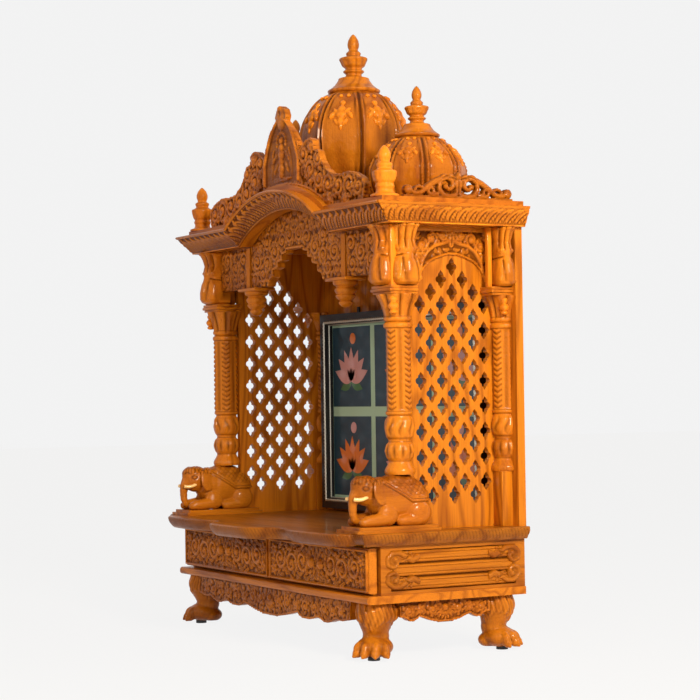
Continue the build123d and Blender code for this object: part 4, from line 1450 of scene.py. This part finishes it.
FINIAL_PROFILE = (
    (63, 0), (67, 4), (67, 8), (60, 12), (50, 20), (44, 28), (40, 34), (39, 39), (24, 42), (20, 46), (20, 50),
    (27, 55), (27, 58), (20, 62), (22, 66), (28, 70), (32, 80), (36, 87), (35, 91), (24, 94), (17, 96),
    (19, 101), (19, 104), (14, 108), (11, 112), (14, 118), (15, 126), (13, 136), (8, 145), (4, 150), (1, 152),
)
CORNER_PROFILE = (
    (33, 0), (34, 3), (33, 5), (23, 8), (20, 13), (20, 18), (23, 23), (22, 26), (20, 30), (24, 35), (26, 44),
    (28, 54), (28, 58), (21, 61), (16, 65), (19, 72), (18, 76), (12, 79), (12, 82), (15, 90), (15, 98),
    (11, 108), (5, 115), (1, 118),
)


def finial_shape(base, scale, cup_low, cup_high, lobes=9):
    def shape(angle, level, radius):
        z = (level - base) / scale
        cup = window(z, cup_low, cup_high)
        return 2.6 * scale * (np.abs(np.cos(lobes * angle / 2)) ** 0.8 - 0.5) * cup, None
    return shape


def dome_points(radius, base, widest, collar, neck, swell):
    points = [(radius * 0.78, base), (radius * 0.90, base + (widest - base) * 0.3)]
    points.append((radius * 0.975, base + (widest - base) * 0.65))
    for index in range(0, 13):
        t = index / 12
        level = widest + (collar - widest) * t
        points.append((neck + (radius - neck) * (1 - t ** swell) ** 0.75, level))
    return points


def gathered(angle):
    # Brings the points of a ring closer together beside the ribs.
    part = angle / (2 * math.pi) * GORES
    local = part - np.round(part)
    local = local + 0.72 * np.sin(2 * math.pi * local) / (2 * math.pi)
    return (np.round(part) + local) / GORES * 2 * math.pi


def dome_shape(base, collar, radius, beads):
    def shape(angle, level, current):
        part = angle / (2 * math.pi) * GORES
        local = part - np.round(part)
        flat = 1 / np.cos(local * 2 * math.pi / GORES) - 1
        from_rib = (0.5 - np.abs(local)) * current * 2 * math.pi / GORES
        fade = np.clip((collar - level) / 10, 0, 1) * radius / DOME_RADIUS
        ridge = np.exp(-((from_rib - 6.8) / 2.4) ** 2) * (1 + beads * np.sin(2 * math.pi * level / 9.0))
        deep = np.exp(-(from_rib / 4.2) ** 2)
        shallow = np.exp(-((from_rib - 11.5) / 2.2) ** 2)
        # Painted shade in the rib grooves, and a painted highlight on the beaded ridges.
        tone = 0.76 + (0.25 * ridge - 1.1 * deep - 0.8 * shallow) * fade
        return current * (0.85 * flat - 0.035) + (3.4 * ridge - 6.0 * deep - 3.0 * shallow) * fade, tone
    return shape


def hanging_ornament(name):
    # A small head, a body between two leaves, a pointed tail, and two dots above.
    lumps = [
        blob((0, 0, 22), (5.5, 5, 6)), blob((0, 0, 14), (3.5, 3.5, 5)), blob((0, 0, 5), (8, 7, 9)),
        blob((0, 0, -5), (10, 6.5, 8)), blob((0, 0, -17), (6, 5.5, 9)), blob((0, 0, -28), (3, 4, 7)),
    ]
    for side in (-1, 1):
        lumps.append(blob((side * 10, 0, 2), (3.5, 5, 10), (0, side * 38, 0)))
        lumps.append(blob((side * 17, 0, -6), (4.5, 5, 8), (0, side * -30, 0)))
        lumps.append(blob((side * 9, 0, -19), (3, 4, 7), (0, side * 30, 0)))
        lumps.append(blob((side * 7, 0, 42), (4.5, 5, 5)))
    return melted(name, lumps, 2.1, 1)


class SHRINE_OT_domes(bpy.types.Operator):
    """Builds the ribbed domes, their finials and the drops on their gores"""
    bl_idname = "shrine.domes"
    bl_label = "Domes and finials"

    def hang(self, name, centre, points, middle, scale):
        # One copy of the ornament on each gore, bent to its curve.
        pattern = hanging_ornament(name + "_pattern")
        radii, levels = np.array(points).T
        along = distances(points)
        start = np.interp(middle, levels, along)
        copies = []
        for index in range(GORES):
            angle = 2 * math.pi * index / GORES
            copy = copied(pattern, name + "_copy")

            def bent(xyz, normals):
                spot = start + xyz[:, 2] * scale
                reach = np.interp(spot, along, radii) * 0.965 - xyz[:, 1] * scale * 0.85
                level = np.interp(spot, along, levels) - xyz[:, 1] * scale * 0.4
                side = xyz[:, 0] * scale
                x = centre[0] + reach * math.cos(angle) - side * math.sin(angle)
                y = centre[1] + reach * math.sin(angle) + side * math.cos(angle)
                return np.stack([x, y, level], axis=1)

            reshaped(copy, bent)
            copies.append(copy)
        bpy.data.objects.remove(pattern)
        return joined(name, copies)

    def dome_with_drops(self, name, centre, radius, base, widest, collar, neck, scale, swell, beads=0.0):
        points = dome_points(radius, base, widest, collar, neck, swell)
        shape = dome_shape(base, collar, radius, beads)
        piece = spun(name, points, 160, (centre[0], centre[1], 0), shape, 3.5, gathered)
        middle = widest + (collar - widest) * 0.50
        return piece, self.hang(name + "_drops", centre, points, middle, scale)

    def execute(self, context):
        low, high = box("main_dome")
        centre = ((low[0] + high[0]) / 2, (low[1] + high[1]) / 2)
        dome, drops = self.dome_with_drops(
            "ribbed_dome", centre, DOME_RADIUS, low[2], DOME_WIDEST_LEVEL, high[2], DOME_NECK, 1.4, 2.1,
        )
        finish_piece(dome, "teak_ribbed", ("main_dome",))
        finish_piece(drops, "teak_drops")
        low = box("main_finial")[0]
        profile = [(r, z + low[2]) for r, z in FINIAL_PROFILE]
        top = spun(
            "finial_main", profile, 72, (centre[0], centre[1], 0), finial_shape(low[2], 1.0, 64, 92), 1.8,
        )
        finish_piece(top, "teak_up", ("main_finial",))

        low, high = box("small_domes")
        reach = (high[1] - low[1]) / 2
        centre = (high[0] - reach, (low[1] + high[1]) / 2)
        dome, drops = self.dome_with_drops(
            "ribbed_small_dome_right", centre, SMALL_DOME_RADIUS, low[2], low[2] + 84, high[2],
            SMALL_DOME_NECK, 1.1, 1.5, 0.6,
        )
        drops.name = "small_dome_drops_right"
        pair(dome, "teak_ribbed", ("small_domes",))
        pair(drops, "teak_drops")
        low = box("small_finials")[0]
        scale = SMALL_FINIAL_SCALE
        profile = [(r * scale, z * scale + low[2]) for r, z in FINIAL_PROFILE]
        top = spun(
            "finial_small_right", profile, 60, (centre[0], centre[1], 0),
            finial_shape(low[2], scale, 64, 92), 1.8,
        )
        pair(top, "teak_up", ("small_finials",))

        low, high = box("corner_finials")
        spot = (high[0] - CORNER_FINIAL_HALF, low[1] + CORNER_FINIAL_HALF)
        profile = [(r, z + low[2]) for r, z in CORNER_PROFILE]
        top = spun(
            "finial_corner_right", profile, 48, (spot[0], spot[1], 0), finial_shape(low[2], 1.0, 34, 60), 1.8,
        )
        pair(top, "teak_pale", ("corner_finials",))
        return {"FINISHED"}


class SHRINE_OT_pendants(bpy.types.Operator):
    """Turns the two pendants under the arch board"""
    bl_idname = "shrine.pendants"
    bl_label = "Pendants"

    def execute(self, context):
        low, high = box("pendants")
        centre_x = high[0] - 50
        centre_y = box("arch_board")[0][1] + 5 + 9
        top = high[2]
        profile = (
            (2, -2), (9, 0), (13, 3), (17, 8), (17, 12), (13, 14), (19, 18), (24, 24), (25, 27), (21, 30),
            (24, 33), (27, 38), (27, 42), (23, 46), (22, 49), (29, 52), (31, 56), (31, 62),
        )
        profile = [(r, z + top - 8 - 62) for r, z in profile]
        drop = spun("pendant_right", profile, 40, (centre_x, centre_y, 0), step=1.8)
        plate = board(
            "pendant_plate_right", (centre_x - 50, low[1], top - 8), (centre_x + 50, high[1], top), 2.5, 3,
        )
        pair(drop, "teak_up", ("pendants",))
        pair(plate, "teak_across")
        return {"FINISHED"}


# Feet and elephants, melted together from lumps and then carved

def foot_lumps():
    lumps = tube(
        [(-6, 0, 124), (-3, 0, 104), (-5, 0, 84), (-9, 0, 62), (-8, 0, 44)], (40, 43, 36, 29, 32),
    )
    lumps.append(blob((4, 0, 30), (40, 43, 25)))
    lumps.append(blob((-20, 0, 22), (26, 32, 18)))
    for side in (-1, 1):
        lumps.append(blob((-24, 25 * side, 106), (25, 25, 24)))
    for index in range(4):
        angle = math.radians(-48 + 32 * index)
        out = (math.cos(angle), math.sin(angle))
        lumps.append(blob((34 * out[0], 36 * out[1], 28), (20, 11.5, 17), (0, 24, math.degrees(angle))))
        lumps.append(blob((46 * out[0], 44 * out[1], 18), (13, 10.5, 11), (0, 10, math.degrees(angle))))
        lumps.append(blob((55 * out[0], 52 * out[1], 12), (7, 5, 5), (0, 25, math.degrees(angle))))
    return lumps


def hairy(xyz, normals):
    # Locks of mane down the knee, and creases between the toes.
    angle = np.arctan2(xyz[:, 1], xyz[:, 0] + 6)
    z = xyz[:, 2]
    knee = np.clip((z - 58) / 14, 0, 1)
    edge = 60 + 26 * np.abs(np.sin(angle * 1.5))
    mane = np.clip((z - edge) / 6, 0, 1) * knee
    locks = np.sin(angle * 15 + 1.6 * np.sin(z / 9)) + 0.5 * np.sin(angle * 31 + z / 5)
    return xyz + normals * (mane * (1.2 + 1.5 * locks))[:, None]


class SHRINE_OT_feet(bpy.types.Operator):
    """Shapes the lion-paw feet with toes, claws and mane"""
    bl_idname = "shrine.feet"
    bl_label = "Claw feet"

    def execute(self, context):
        pattern = melted("foot_pattern", foot_lumps(), 2.4, 5)
        pad_top = box("glide_pads")[1][2]
        top = box("foot_front_right")[1][2]
        reshaped(pattern, hairy)
        for turn, where in ((-45, "front"), (45, "back")):
            name = "foot_" + where + "_right"
            foot = copied(pattern, "claw_foot_" + where + "_right")
            middle_y = (-FOOT_Y if where == "front" else FOOT_Y) + depth_shift()
            cosine, sine = math.cos(math.radians(turn)), math.sin(math.radians(turn))

            def stand(xyz, normals):
                x = FOOT_X + xyz[:, 0] * cosine - xyz[:, 1] * sine
                y = middle_y + xyz[:, 0] * sine + xyz[:, 1] * cosine
                limit = box("foot_back_right")[1][1]
                y = np.minimum(y, limit)
                return np.stack([x, y, xyz[:, 2]], axis=1)

            reshaped(foot, stand)
            split(foot, (0, 0, pad_top), (0, 0, -1))
            split(foot, (0, 0, top), (0, 0, 1))
            pair(foot, "teak_carved_up", (name,))
        bpy.data.objects.remove(pattern)
        return {"FINISHED"}


def elephant_lumps():
    lumps = [
        blob((0, 118, 60), (42, 74, 50)), blob((0, 160, 54), (41, 43, 48)), blob((0, 86, 64), (38, 44, 46)),
        blob((0, 44, 80), (29, 37, 34)), blob((0, 26, 90), (21, 20, 22)), blob((0, 124, 97), (34, 52, 17)),
    ]
    for side in (-1, 1):
        lumps.append(blob((side * 11, 32, 101), (12, 15, 12)))
        lumps.append(blob((side * 33, 62, 78), (5.5, 20, 31), (0, side * -12, side * 14)))
        lumps.append(blob((side * 28, 84, 26), (15, 26, 26)))
        lumps += tube([(side * 29, 78, 17), (side * 28, 50, 14), (side * 27, 28, 12)], (16, 14.5, 12.5))
        lumps.append(blob((side * 26, 24, 10), (12.5, 13, 10.5)))
        lumps.append(blob((side * 31, 166, 28), (17, 31, 30)))
        lumps += tube([(side * 31, 160, 14), (side * 30, 130, 12), (side * 29, 114, 10)], (16, 13.5, 11.5))
    lumps += tube(
        [(0, 22, 82), (0, 11, 64), (0, 8, 46), (0, 9, 29), (0, 14, 16), (0, 24, 9)],
        (16, 12, 10, 9.2, 8.5, 7),
    )
    return lumps


def dressed(xyz, normals):
    # A saddle cloth that falls to a point, with a rolled hem, a netted cap and an eye.
    x, y, z = xyz[:, 0], xyz[:, 1], xyz[:, 2]
    edge = np.where(y < 142, 96 - 0.62 * (y - 72), 52.6)
    cloth = np.clip((z - edge) / 1.6, 0, 1) * np.clip((y - 70) / 2, 0, 1)
    hem = np.exp(-((z - edge - 3.5) / 2.4) ** 2) * cloth * (1 + 0.25 * np.sin((y + z) / 1.6))
    inner_line = np.exp(-((z - edge - 12) / 1.4) ** 2) * cloth
    folds = 0.8 * np.sin((y - 0.9 * z) / 6.5) * cloth * np.clip((z - edge - 14) / 6, 0, 1)
    out = 2.0 * cloth + 2.6 * hem + 1.4 * inner_line + 1.3 * folds
    cap = np.clip((z - 93) / 2, 0, 1) * np.clip((66 - y) / 2, 0, 1)
    net = np.abs(np.sin((x + y) / 3.4)) * np.abs(np.sin((x - y) / 3.4))
    out += cap * (0.8 + 0.8 * net)
    eye = ((y - 30) / 3.4) ** 2 + ((z - 86) / 2.4) ** 2
    out += np.where(np.abs(x) > 12, 1.5 * np.exp(-eye) - 1.0 * np.exp(-((np.sqrt(eye) - 2.0) / 0.7) ** 2), 0)
    trunk = np.clip((24 - y) / 8, 0, 1) * np.clip((66 - z) / 8, 0, 1)
    out += trunk * 0.25 * np.sin(z / 1.9)
    # Painted shade along the hem, the inner line, the holes of the net, the scale outlines, the sunk side of
    # each fold and the eye's ring.
    line = np.exp(-((z - edge + 0.2) / 1.2) ** 2) * np.clip((y - 70) / 2, 0, 1)
    line = np.maximum(line, np.exp(-((z - edge - 7.4) / 1.1) ** 2) * cloth)
    line = np.maximum(line, cap * (1 - net) ** 2)
    scales = np.abs(np.sin((y + z) / 4.2)) * np.abs(np.sin((y - z) / 4.2))
    inside = cloth * np.clip((z - edge - 14) / 2, 0, 1)
    line = np.maximum(line, 0.75 * inside * (1 - scales) ** 3)
    out += 1.0 * inside * (scales - 0.5)
    line = np.maximum(line, 0.5 * cloth * np.clip(-np.sin((y - 0.9 * z) / 6.5), 0, 1) * (z > edge + 14))
    line = np.maximum(line, np.exp(-((np.sqrt(eye) - 2.0) / 0.8) ** 2) * (np.abs(x) > 12))
    return xyz + normals * out[:, None], 0.82 - 0.80 * line


class SHRINE_OT_elephants(bpy.types.Operator):
    """Shapes the kneeling elephants and their saddle cloths"""
    bl_idname = "shrine.elephants"
    bl_label = "Elephants"

    def execute(self, context):
        plate_top = box("elephant_plates")[1][2]
        front = box("elephant_right")[0][1]
        animal = melted("elephant_carved_right", elephant_lumps(), 1.9, 5)
        reshaped(animal, dressed)
        reshaped(animal, lambda xyz, normals: xyz + np.array((ELEPHANT_X, front + 2, plate_top)))
        split(animal, (0, 0, plate_top), (0, 0, -1))
        pair(animal, "teak_animal", ("elephant_right",))
        return {"FINISHED"}


class SHRINE_OT_case(bpy.types.Operator):
    """Carves the paired scrolls on the sides of the drawer case"""
    bl_idname = "shrine.case"
    bl_label = "Case side scrolls"

    def execute(self, context):
        low, high = box("case_right")
        plane = high[0] - CASE_PANEL_DEPTH
        panel_front, panel_back = low[1] + CASE_STILE, high[1] - CASE_STILE
        panel_low, panel_high = low[2] + 8.0, high[2] - 12.0
        reeds = Relief(panel_back - panel_front, panel_high - panel_low, 1.1, (8, 1))
        for index in range(3):
            middle = reeds.tall * (index + 0.5) / 3
            apart = np.abs(reeds.grid_v - middle)
            band = 6.2 * np.sqrt(np.clip(1 - (apart / 13.4) ** 6, 0, None))
            band -= 1.8 * np.exp(-((apart - 6.5) / 1.3) ** 2) * (apart < 12)
            reeds.height = np.maximum(reeds.height, band)
        reeds.height += 0.3
        piece = carve("case_reeds_right", reeds, onto_right(plane, panel_front, panel_low), back=-1.0)
        pair(piece, "teak_case")
        relief = Relief(94, 92, chosen_step(0.8))
        lift = 13.5
        relief.stroke(
            [(91, 74), (76, 66), (60, 74), (44, 84), (24, 85),
             (9, 74), (10, 57), (26, 51), (37, 61), (29, 70)], 8.8, lift,
        )
        relief.leaf(40, 66, 0.1, 40, 8, lift * 0.8, 1.0)
        relief.leaf(54, 84, -0.1, 26, 6, lift * 0.8, -0.8)
        relief.height = np.maximum(relief.height, relief.height[::-1, :])
        relief.height = softened(relief.height, 1)
        relief.field = relief.height / lift - 0.3
        eye = ((relief.grid_u - 24) / 17) ** 2 + ((np.abs(relief.grid_v - 46) - 21) / 17) ** 2 < 1
        relief.field = np.where(eye, 1.0, relief.field)
        relief.height = np.where(eye, np.maximum(relief.height, 1.2 * lift * 0.5), relief.height)
        level = (low[2] + high[2]) / 2 - 46
        front = low[1] + 8
        rear = high[1] - 8
        piece = carve("case_scrolls_front_right", relief, onto_right(plane, front, level), back=-1.0)
        pair(piece, "teak_scrolls")
        place = (lambda u, v, h: (plane + h + 0 * u, rear - u, level + v))
        piece = carve("case_scrolls_back_right", relief, place, back=-1.0)
        pair(piece, "teak_scrolls")
        return {"FINISHED"}


DECK_EDGE = ((0, 15), (3, 12), (8, 7.5), (13, 4), (18, 1.8), (22, 0.8), (25, 0.6), (27, 1.4), (29, 4))


class SHRINE_OT_deck(bpy.types.Operator):
    """Gives the serpentine deck its ribbed thumbnail edge"""
    bl_idname = "shrine.deck"
    bl_label = "Deck edge"

    def execute(self, context):
        low, high = box("deck")
        corners = np.concatenate(triangles("deck"))
        on_top = np.abs(corners[:, 2] - high[2]) < 0.1
        front = corners[on_top & (corners[:, 1] < high[1] - 1)][:, :2]
        front = np.unique(np.round(front, 2), axis=0)
        front = front[np.argsort(front[:, 0], kind="stable")]
        path = np.concatenate([[[low[0], high[1]]], front, [[high[0], high[1]]]])
        along = distances(path)
        spots = np.linspace(0, along[-1], int(along[-1] / 1.1))
        x = np.interp(spots, along, path[:, 0])
        y = np.interp(spots, along, path[:, 1])
        soft = np.stack([x, y])
        for _ in range(40):
            soft[:, 1:-1] = (soft[:, :-2] + 2 * soft[:, 1:-1] + soft[:, 2:]) / 4
        tangent = np.gradient(soft, axis=1)
        tangent /= np.hypot(*tangent) + 1e-9
        inward = np.stack([-tangent[1], tangent[0]])
        points, tones = [], []
        count = len(spots)
        for index, (level, inset) in enumerate(DECK_EDGE):
            ribs = np.abs(np.sin(math.pi * (spots + level * 0.5) / RIB_PITCH)) ** 0.6
            ribbed = 1 < index < 7
            # Painted shade in the grooves between the ribs.
            tones.append(0.05 + 0.8 * ribs if ribbed else np.full(count, 0.9))
            ring = soft + inward * (inset + (RIB_DEPTH * (1 - ribs) if ribbed else 0.0))
            ring[1] = np.minimum(ring[1], high[1])
            for px, py in ring.T:
                points.append((px * MM, py * MM, (low[2] + level) * MM))
        piece = mesh_piece("deck_board", points, ring_faces(len(DECK_EDGE), count))
        mark(piece, np.concatenate(tones))
        clean(piece, 0.00002)
        smooth(piece, 35)
        finish_piece(piece, "teak_deck", ("deck",))
        return {"FINISHED"}


# Picture

def rope(name, start, end, radius, pitch):
    # A twisted bead that runs straight between two points.
    start, end = np.array(start, float), np.array(end, float)
    length = np.linalg.norm(end - start)
    forward = (end - start) / length
    side = np.cross(forward, (0, 1, 0))
    up = np.cross(side, forward)
    rings = int(length / 2.3)
    around = 10
    points = []
    for ring in range(rings + 1):
        s = length * ring / rings
        for step in range(around):
            angle = 2 * math.pi * step / around
            r = radius * (1 + 0.22 * math.sin(2 * angle + 2 * math.pi * s / pitch))
            spot = start + forward * s + side * r * math.cos(angle) + up * r * math.sin(angle)
            points.append(tuple(spot * MM))
    obj = mesh_piece(name, points, ring_faces(rings + 1, around))
    clean(obj, 0.00001)
    smooth(obj, 60)
    return obj


def cutout(name, outline, y, thickness):
    # A flat shape with its face towards the front, thickened by an extrusion.
    obj = mesh_piece(name, [(x * MM, y * MM, z * MM) for x, z in outline], [tuple(range(len(outline)))])
    pick(obj)
    bpy.ops.object.mode_set(mode="EDIT")
    bpy.ops.mesh.select_all(action="SELECT")
    bpy.ops.mesh.extrude_region_move(TRANSFORM_OT_translate={"value": (0, -thickness * MM, 0)})
    bpy.ops.mesh.select_all(action="SELECT")
    bpy.ops.mesh.normals_make_consistent(inside=False)
    bpy.ops.object.mode_set(mode="OBJECT")
    return obj


def petal(x, z, angle, length, width):
    outline = []
    for index in range(13):
        t = index / 12
        half = width * math.sin(math.pi * t ** 0.8)
        outline.append((length * t, half))
    outline += [(a, -b) for a, b in reversed(outline[1:-1])]
    cosine, sine = math.cos(angle), math.sin(angle)
    return [(x + a * cosine - b * sine, z + a * sine + b * cosine) for a, b in outline]


def disc(x, z, radius, count=28):
    turns = [2 * math.pi * index / count for index in range(count)]
    return [(x + radius * math.cos(turn), z + radius * math.sin(turn)) for turn in turns]


def lotus(x, z, face, petals, suns, leaves):
    # One plain flower: two rows of petals, a sun above and a leaf on each side.
    size = 92
    for turn in range(7):
        outline = petal(x, z, math.radians(18 + 24 * turn), size, 17)
        petals.append(cutout("petal", outline, face - 1.2, 0.5 + 0.12 * (turn % 2)))
    for turn in range(4):
        outline = petal(x, z, math.radians(45 + 30 * turn), size * 0.62, 12)
        petals.append(cutout("petal", outline, face - 1.9, 0.4))
    suns.append(cutout("sun", disc(x + size * 0.1, z + size * 1.25, 15), face - 1.2, 0.4))
    for side in (-1, 1):
        outline = petal(x, z - 4, math.pi / 2 + side * 1.85, 62, 13)
        leaves.append(cutout("pad", outline, face - 1.2, 0.3))


class SHRINE_OT_picture(bpy.types.Operator):
    """Makes the beaded frame and its six plain flower prints"""
    bl_idname = "shrine.picture"
    bl_label = "Picture"

    def execute(self, context):
        low = box("picture_frame")[0]
        inner_low, inner_high = box("picture_prints")
        face = inner_low[1]
        beads = []
        for out, y, radius, pitch in ((5.5, low[1] + 0.8, 3.6, 10.0), (-1.0, low[1] + 13.0, 1.9, 6.0)):
            x0, x1 = inner_low[0] - out, inner_high[0] + out
            z0, z1 = inner_low[2] - out, inner_high[2] + out
            for x in (x0, x1):
                beads.append(rope("bead", (x, y, z0), (x, y, z1), radius, pitch))
            for z in (z0, z1):
                beads.append(rope("bead", (x0, y, z), (x1, y, z), radius, pitch))
        bead = joined("frame_bead", beads)
        # The beads are coloured silver as painted glints on the black frame.
        finish_piece(bead, "silver")
        columns = ((-369, -161), (-143, 143), (161, 369))
        rows = ((inner_low[2] + 6, 548), (568, inner_high[2] - 6))
        sheets, pinks, oranges, greens = [], [], [], []
        for column, (x0, x1) in enumerate(columns):
            for row, (z0, z1) in enumerate(rows):
                near, far = (x0 + 3, face - 1.2, z0 + 3), (x1 - 3, face + 1, z1 - 3)
                sheets.append(board("sheet", near, far, 0.3, 1))
                petals, suns = (pinks, oranges) if (row + column) % 2 == 1 else (oranges, pinks)
                lotus((x0 + x1) / 2, z0 + (z1 - z0) * 0.32, face, petals, suns, greens)
        finish_piece(joined("print_sheets", sheets), "print_dark")
        finish_piece(joined("print_pink_petals", pinks), "print_pink")
        finish_piece(joined("print_orange_petals", oranges), "print_orange")
        finish_piece(joined("print_leaves", greens), "print_green")
        return {"FINISHED"}


class SHRINE_OT_stage(bpy.types.Operator):
    """Sets the floor, the backdrop, the lamps and the camera"""
    bl_idname = "shrine.stage"
    bl_label = "Stage"

    def execute(self, context):
        chosen = settings("shrine_stage")
        bpy.context.scene.view_settings.view_transform = "Standard"
        deselect()
        bpy.ops.mesh.primitive_plane_add(size=40, location=(0, 0, 0))
        floor = bpy.context.object
        floor.name = "floor"
        settle(floor)
        shader = Shader("paper")
        rays = shader.tree.nodes.new("ShaderNodeLightPath")
        seen_directly = Value(shader, rays.outputs["Is Camera Ray"])
        in_gloss = Value(shader, rays.outputs["Is Glossy Ray"])
        through_glass = Value(shader, rays.outputs["Is Transmission Ray"])
        shader.set(Base_Color=four(chosen.paper), Roughness=0.9, Specular_IOR_Level=0.0)
        glow = shader.tree.nodes.new("ShaderNodeEmission")
        glow.inputs["Color"].default_value = (0.935, 0.935, 0.935, 1)
        blend = shader.tree.nodes.new("ShaderNodeMixShader")
        shader.feed(blend.inputs[0], (seen_directly + in_gloss + through_glass).clamped() * 0.93)
        shader.tree.links.new(shader.surface.outputs[0], blend.inputs[1])
        shader.tree.links.new(glow.outputs[0], blend.inputs[2])
        shader.tree.links.new(blend.outputs[0], shader.output.inputs["Surface"])
        floor.data.materials.append(shader.material)
        world = bpy.data.worlds.new("studio")
        context.scene.world = world
        world.use_nodes = True
        tree = world.node_tree
        tree.nodes.clear()
        out = tree.nodes.new("ShaderNodeOutputWorld")
        soft = tree.nodes.new("ShaderNodeBackground")
        seen = tree.nodes.new("ShaderNodeBackground")
        mixed = tree.nodes.new("ShaderNodeMixShader")
        rays = tree.nodes.new("ShaderNodeLightPath")
        soft.inputs["Color"].default_value = (1, 0.75, 0.38, 1)
        soft.inputs["Strength"].default_value = 0.26
        seen.inputs["Color"].default_value = (0.892, 0.892, 0.892, 1)
        seen.inputs["Strength"].default_value = 1.0
        with_gloss = tree.nodes.new("ShaderNodeMath")
        with_both = tree.nodes.new("ShaderNodeMath")
        with_both.use_clamp = True
        tree.links.new(rays.outputs["Is Camera Ray"], with_gloss.inputs[0])
        tree.links.new(rays.outputs["Is Glossy Ray"], with_gloss.inputs[1])
        tree.links.new(with_gloss.outputs[0], with_both.inputs[0])
        tree.links.new(rays.outputs["Is Transmission Ray"], with_both.inputs[1])
        tree.links.new(with_both.outputs[0], mixed.inputs[0])
        tree.links.new(soft.outputs[0], mixed.inputs[1])
        tree.links.new(seen.outputs[0], mixed.inputs[2])
        tree.links.new(mixed.outputs[0], out.inputs[0])
        lamps = (
            ("key", (3.4, -0.3, 2.0), 0.8, 150.0, (1.0, 0.88, 0.72)),
            ("front", (0.3, -3.6, 2.1), 0.5, 9.0, (1.0, 0.84, 0.62)),
            ("spark", (-1.5, -3.6, 1.9), 0.05, 14.0, (1.0, 0.88, 0.70)),
            ("glint", (3.0, -2.9, 1.5), 0.08, 26.0, (1.0, 0.92, 0.80)),
            ("back", (1.5, 3.0, 2.6), 1.2, 20.0, (1.0, 0.90, 0.76)),
        )
        for name, spot, size, power, colour in lamps:
            deselect()
            bpy.ops.object.light_add(type="AREA", location=spot)
            lamp = bpy.context.object
            lamp.name = name
            lamp.data.size = size
            lamp.data.energy = power
            lamp.data.color = colour
            aim = Vector((0, 0, 0.75)) - Vector(spot)
            lamp.rotation_euler = aim.to_track_quat("-Z", "Y").to_euler()
        camera_data = bpy.data.cameras.new("camera")
        camera = bpy.data.objects.new("camera", camera_data)
        context.scene.collection.objects.link(camera)
        context.scene.camera = camera
        camera_data.lens = chosen.lens
        camera_data.sensor_width = 36
        camera_data.clip_end = 60
        heading, pitch, roll = (math.radians(part) for part in CAMERA_ANGLES)
        forward = Vector((
            -math.sin(heading) * math.cos(pitch), math.cos(heading) * math.cos(pitch), math.sin(pitch),
        ))
        flat_right = Vector((math.cos(heading), math.sin(heading), 0))
        flat_up = flat_right.cross(forward)
        right = flat_right * math.cos(roll) + flat_up * math.sin(roll)
        up = flat_up * math.cos(roll) - flat_right * math.sin(roll)
        turn = Matrix((right, up, -forward)).transposed().to_4x4()
        # The frame's depth runs from the middle of the footprint, not of the ledge.
        shift = (box("case_back")[1][1] - LEDGE_HALF_DEPTH) * MM
        x, y, z = CAMERA_SPOT
        camera.matrix_world = Matrix.Translation((x, y + shift, z)) @ turn
        return {"FINISHED"}


class SHRINE_PT_panel(bpy.types.Panel):
    """Lists the steps of the shrine"""
    bl_label = "Shrine"
    bl_idname = "SHRINE_PT_panel"
    bl_space_type = "VIEW_3D"
    bl_region_type = "UI"
    bl_category = "Shrine"

    def draw(self, context):
        for group in ("shrine_teak", "shrine_carving", "shrine_stage"):
            for key in getattr(context.scene, group).bl_rna.properties.keys():
                if key not in ("rna_type", "name"):
                    self.layout.prop(getattr(context.scene, group), key)
        for step in STEPS:
            self.layout.operator(step.bl_idname)


STEPS = (
    SHRINE_OT_finish,
    SHRINE_OT_drawers,
    SHRINE_OT_aprons,
    SHRINE_OT_arch,
    SHRINE_OT_cornice,
    SHRINE_OT_columns,
    SHRINE_OT_brackets,
    SHRINE_OT_spandrels,
    SHRINE_OT_crests,
    SHRINE_OT_domes,
    SHRINE_OT_pendants,
    SHRINE_OT_feet,
    SHRINE_OT_elephants,
    SHRINE_OT_case,
    SHRINE_OT_deck,
    SHRINE_OT_picture,
    SHRINE_OT_stage,
)
GROUPS = (
    ("shrine_teak", TeakSettings),
    ("shrine_carving", CarvingSettings),
    ("shrine_stage", StageSettings),
)


def register():
    for name, group in GROUPS:
        bpy.utils.register_class(group)
        setattr(bpy.types.Scene, name, bpy.props.PointerProperty(type=group))
    for step in STEPS:
        bpy.utils.register_class(step)
    bpy.utils.register_class(SHRINE_PT_panel)


def unregister():
    bpy.utils.unregister_class(SHRINE_PT_panel)
    for step in reversed(STEPS):
        bpy.utils.unregister_class(step)
    for name, group in reversed(GROUPS):
        delattr(bpy.types.Scene, name)
        bpy.utils.unregister_class(group)


def main():
    register()
    for step in STEPS:
        group, action = step.bl_idname.split(".")
        getattr(getattr(bpy.ops, group), action)()


if __name__ == "__main__":
    main()
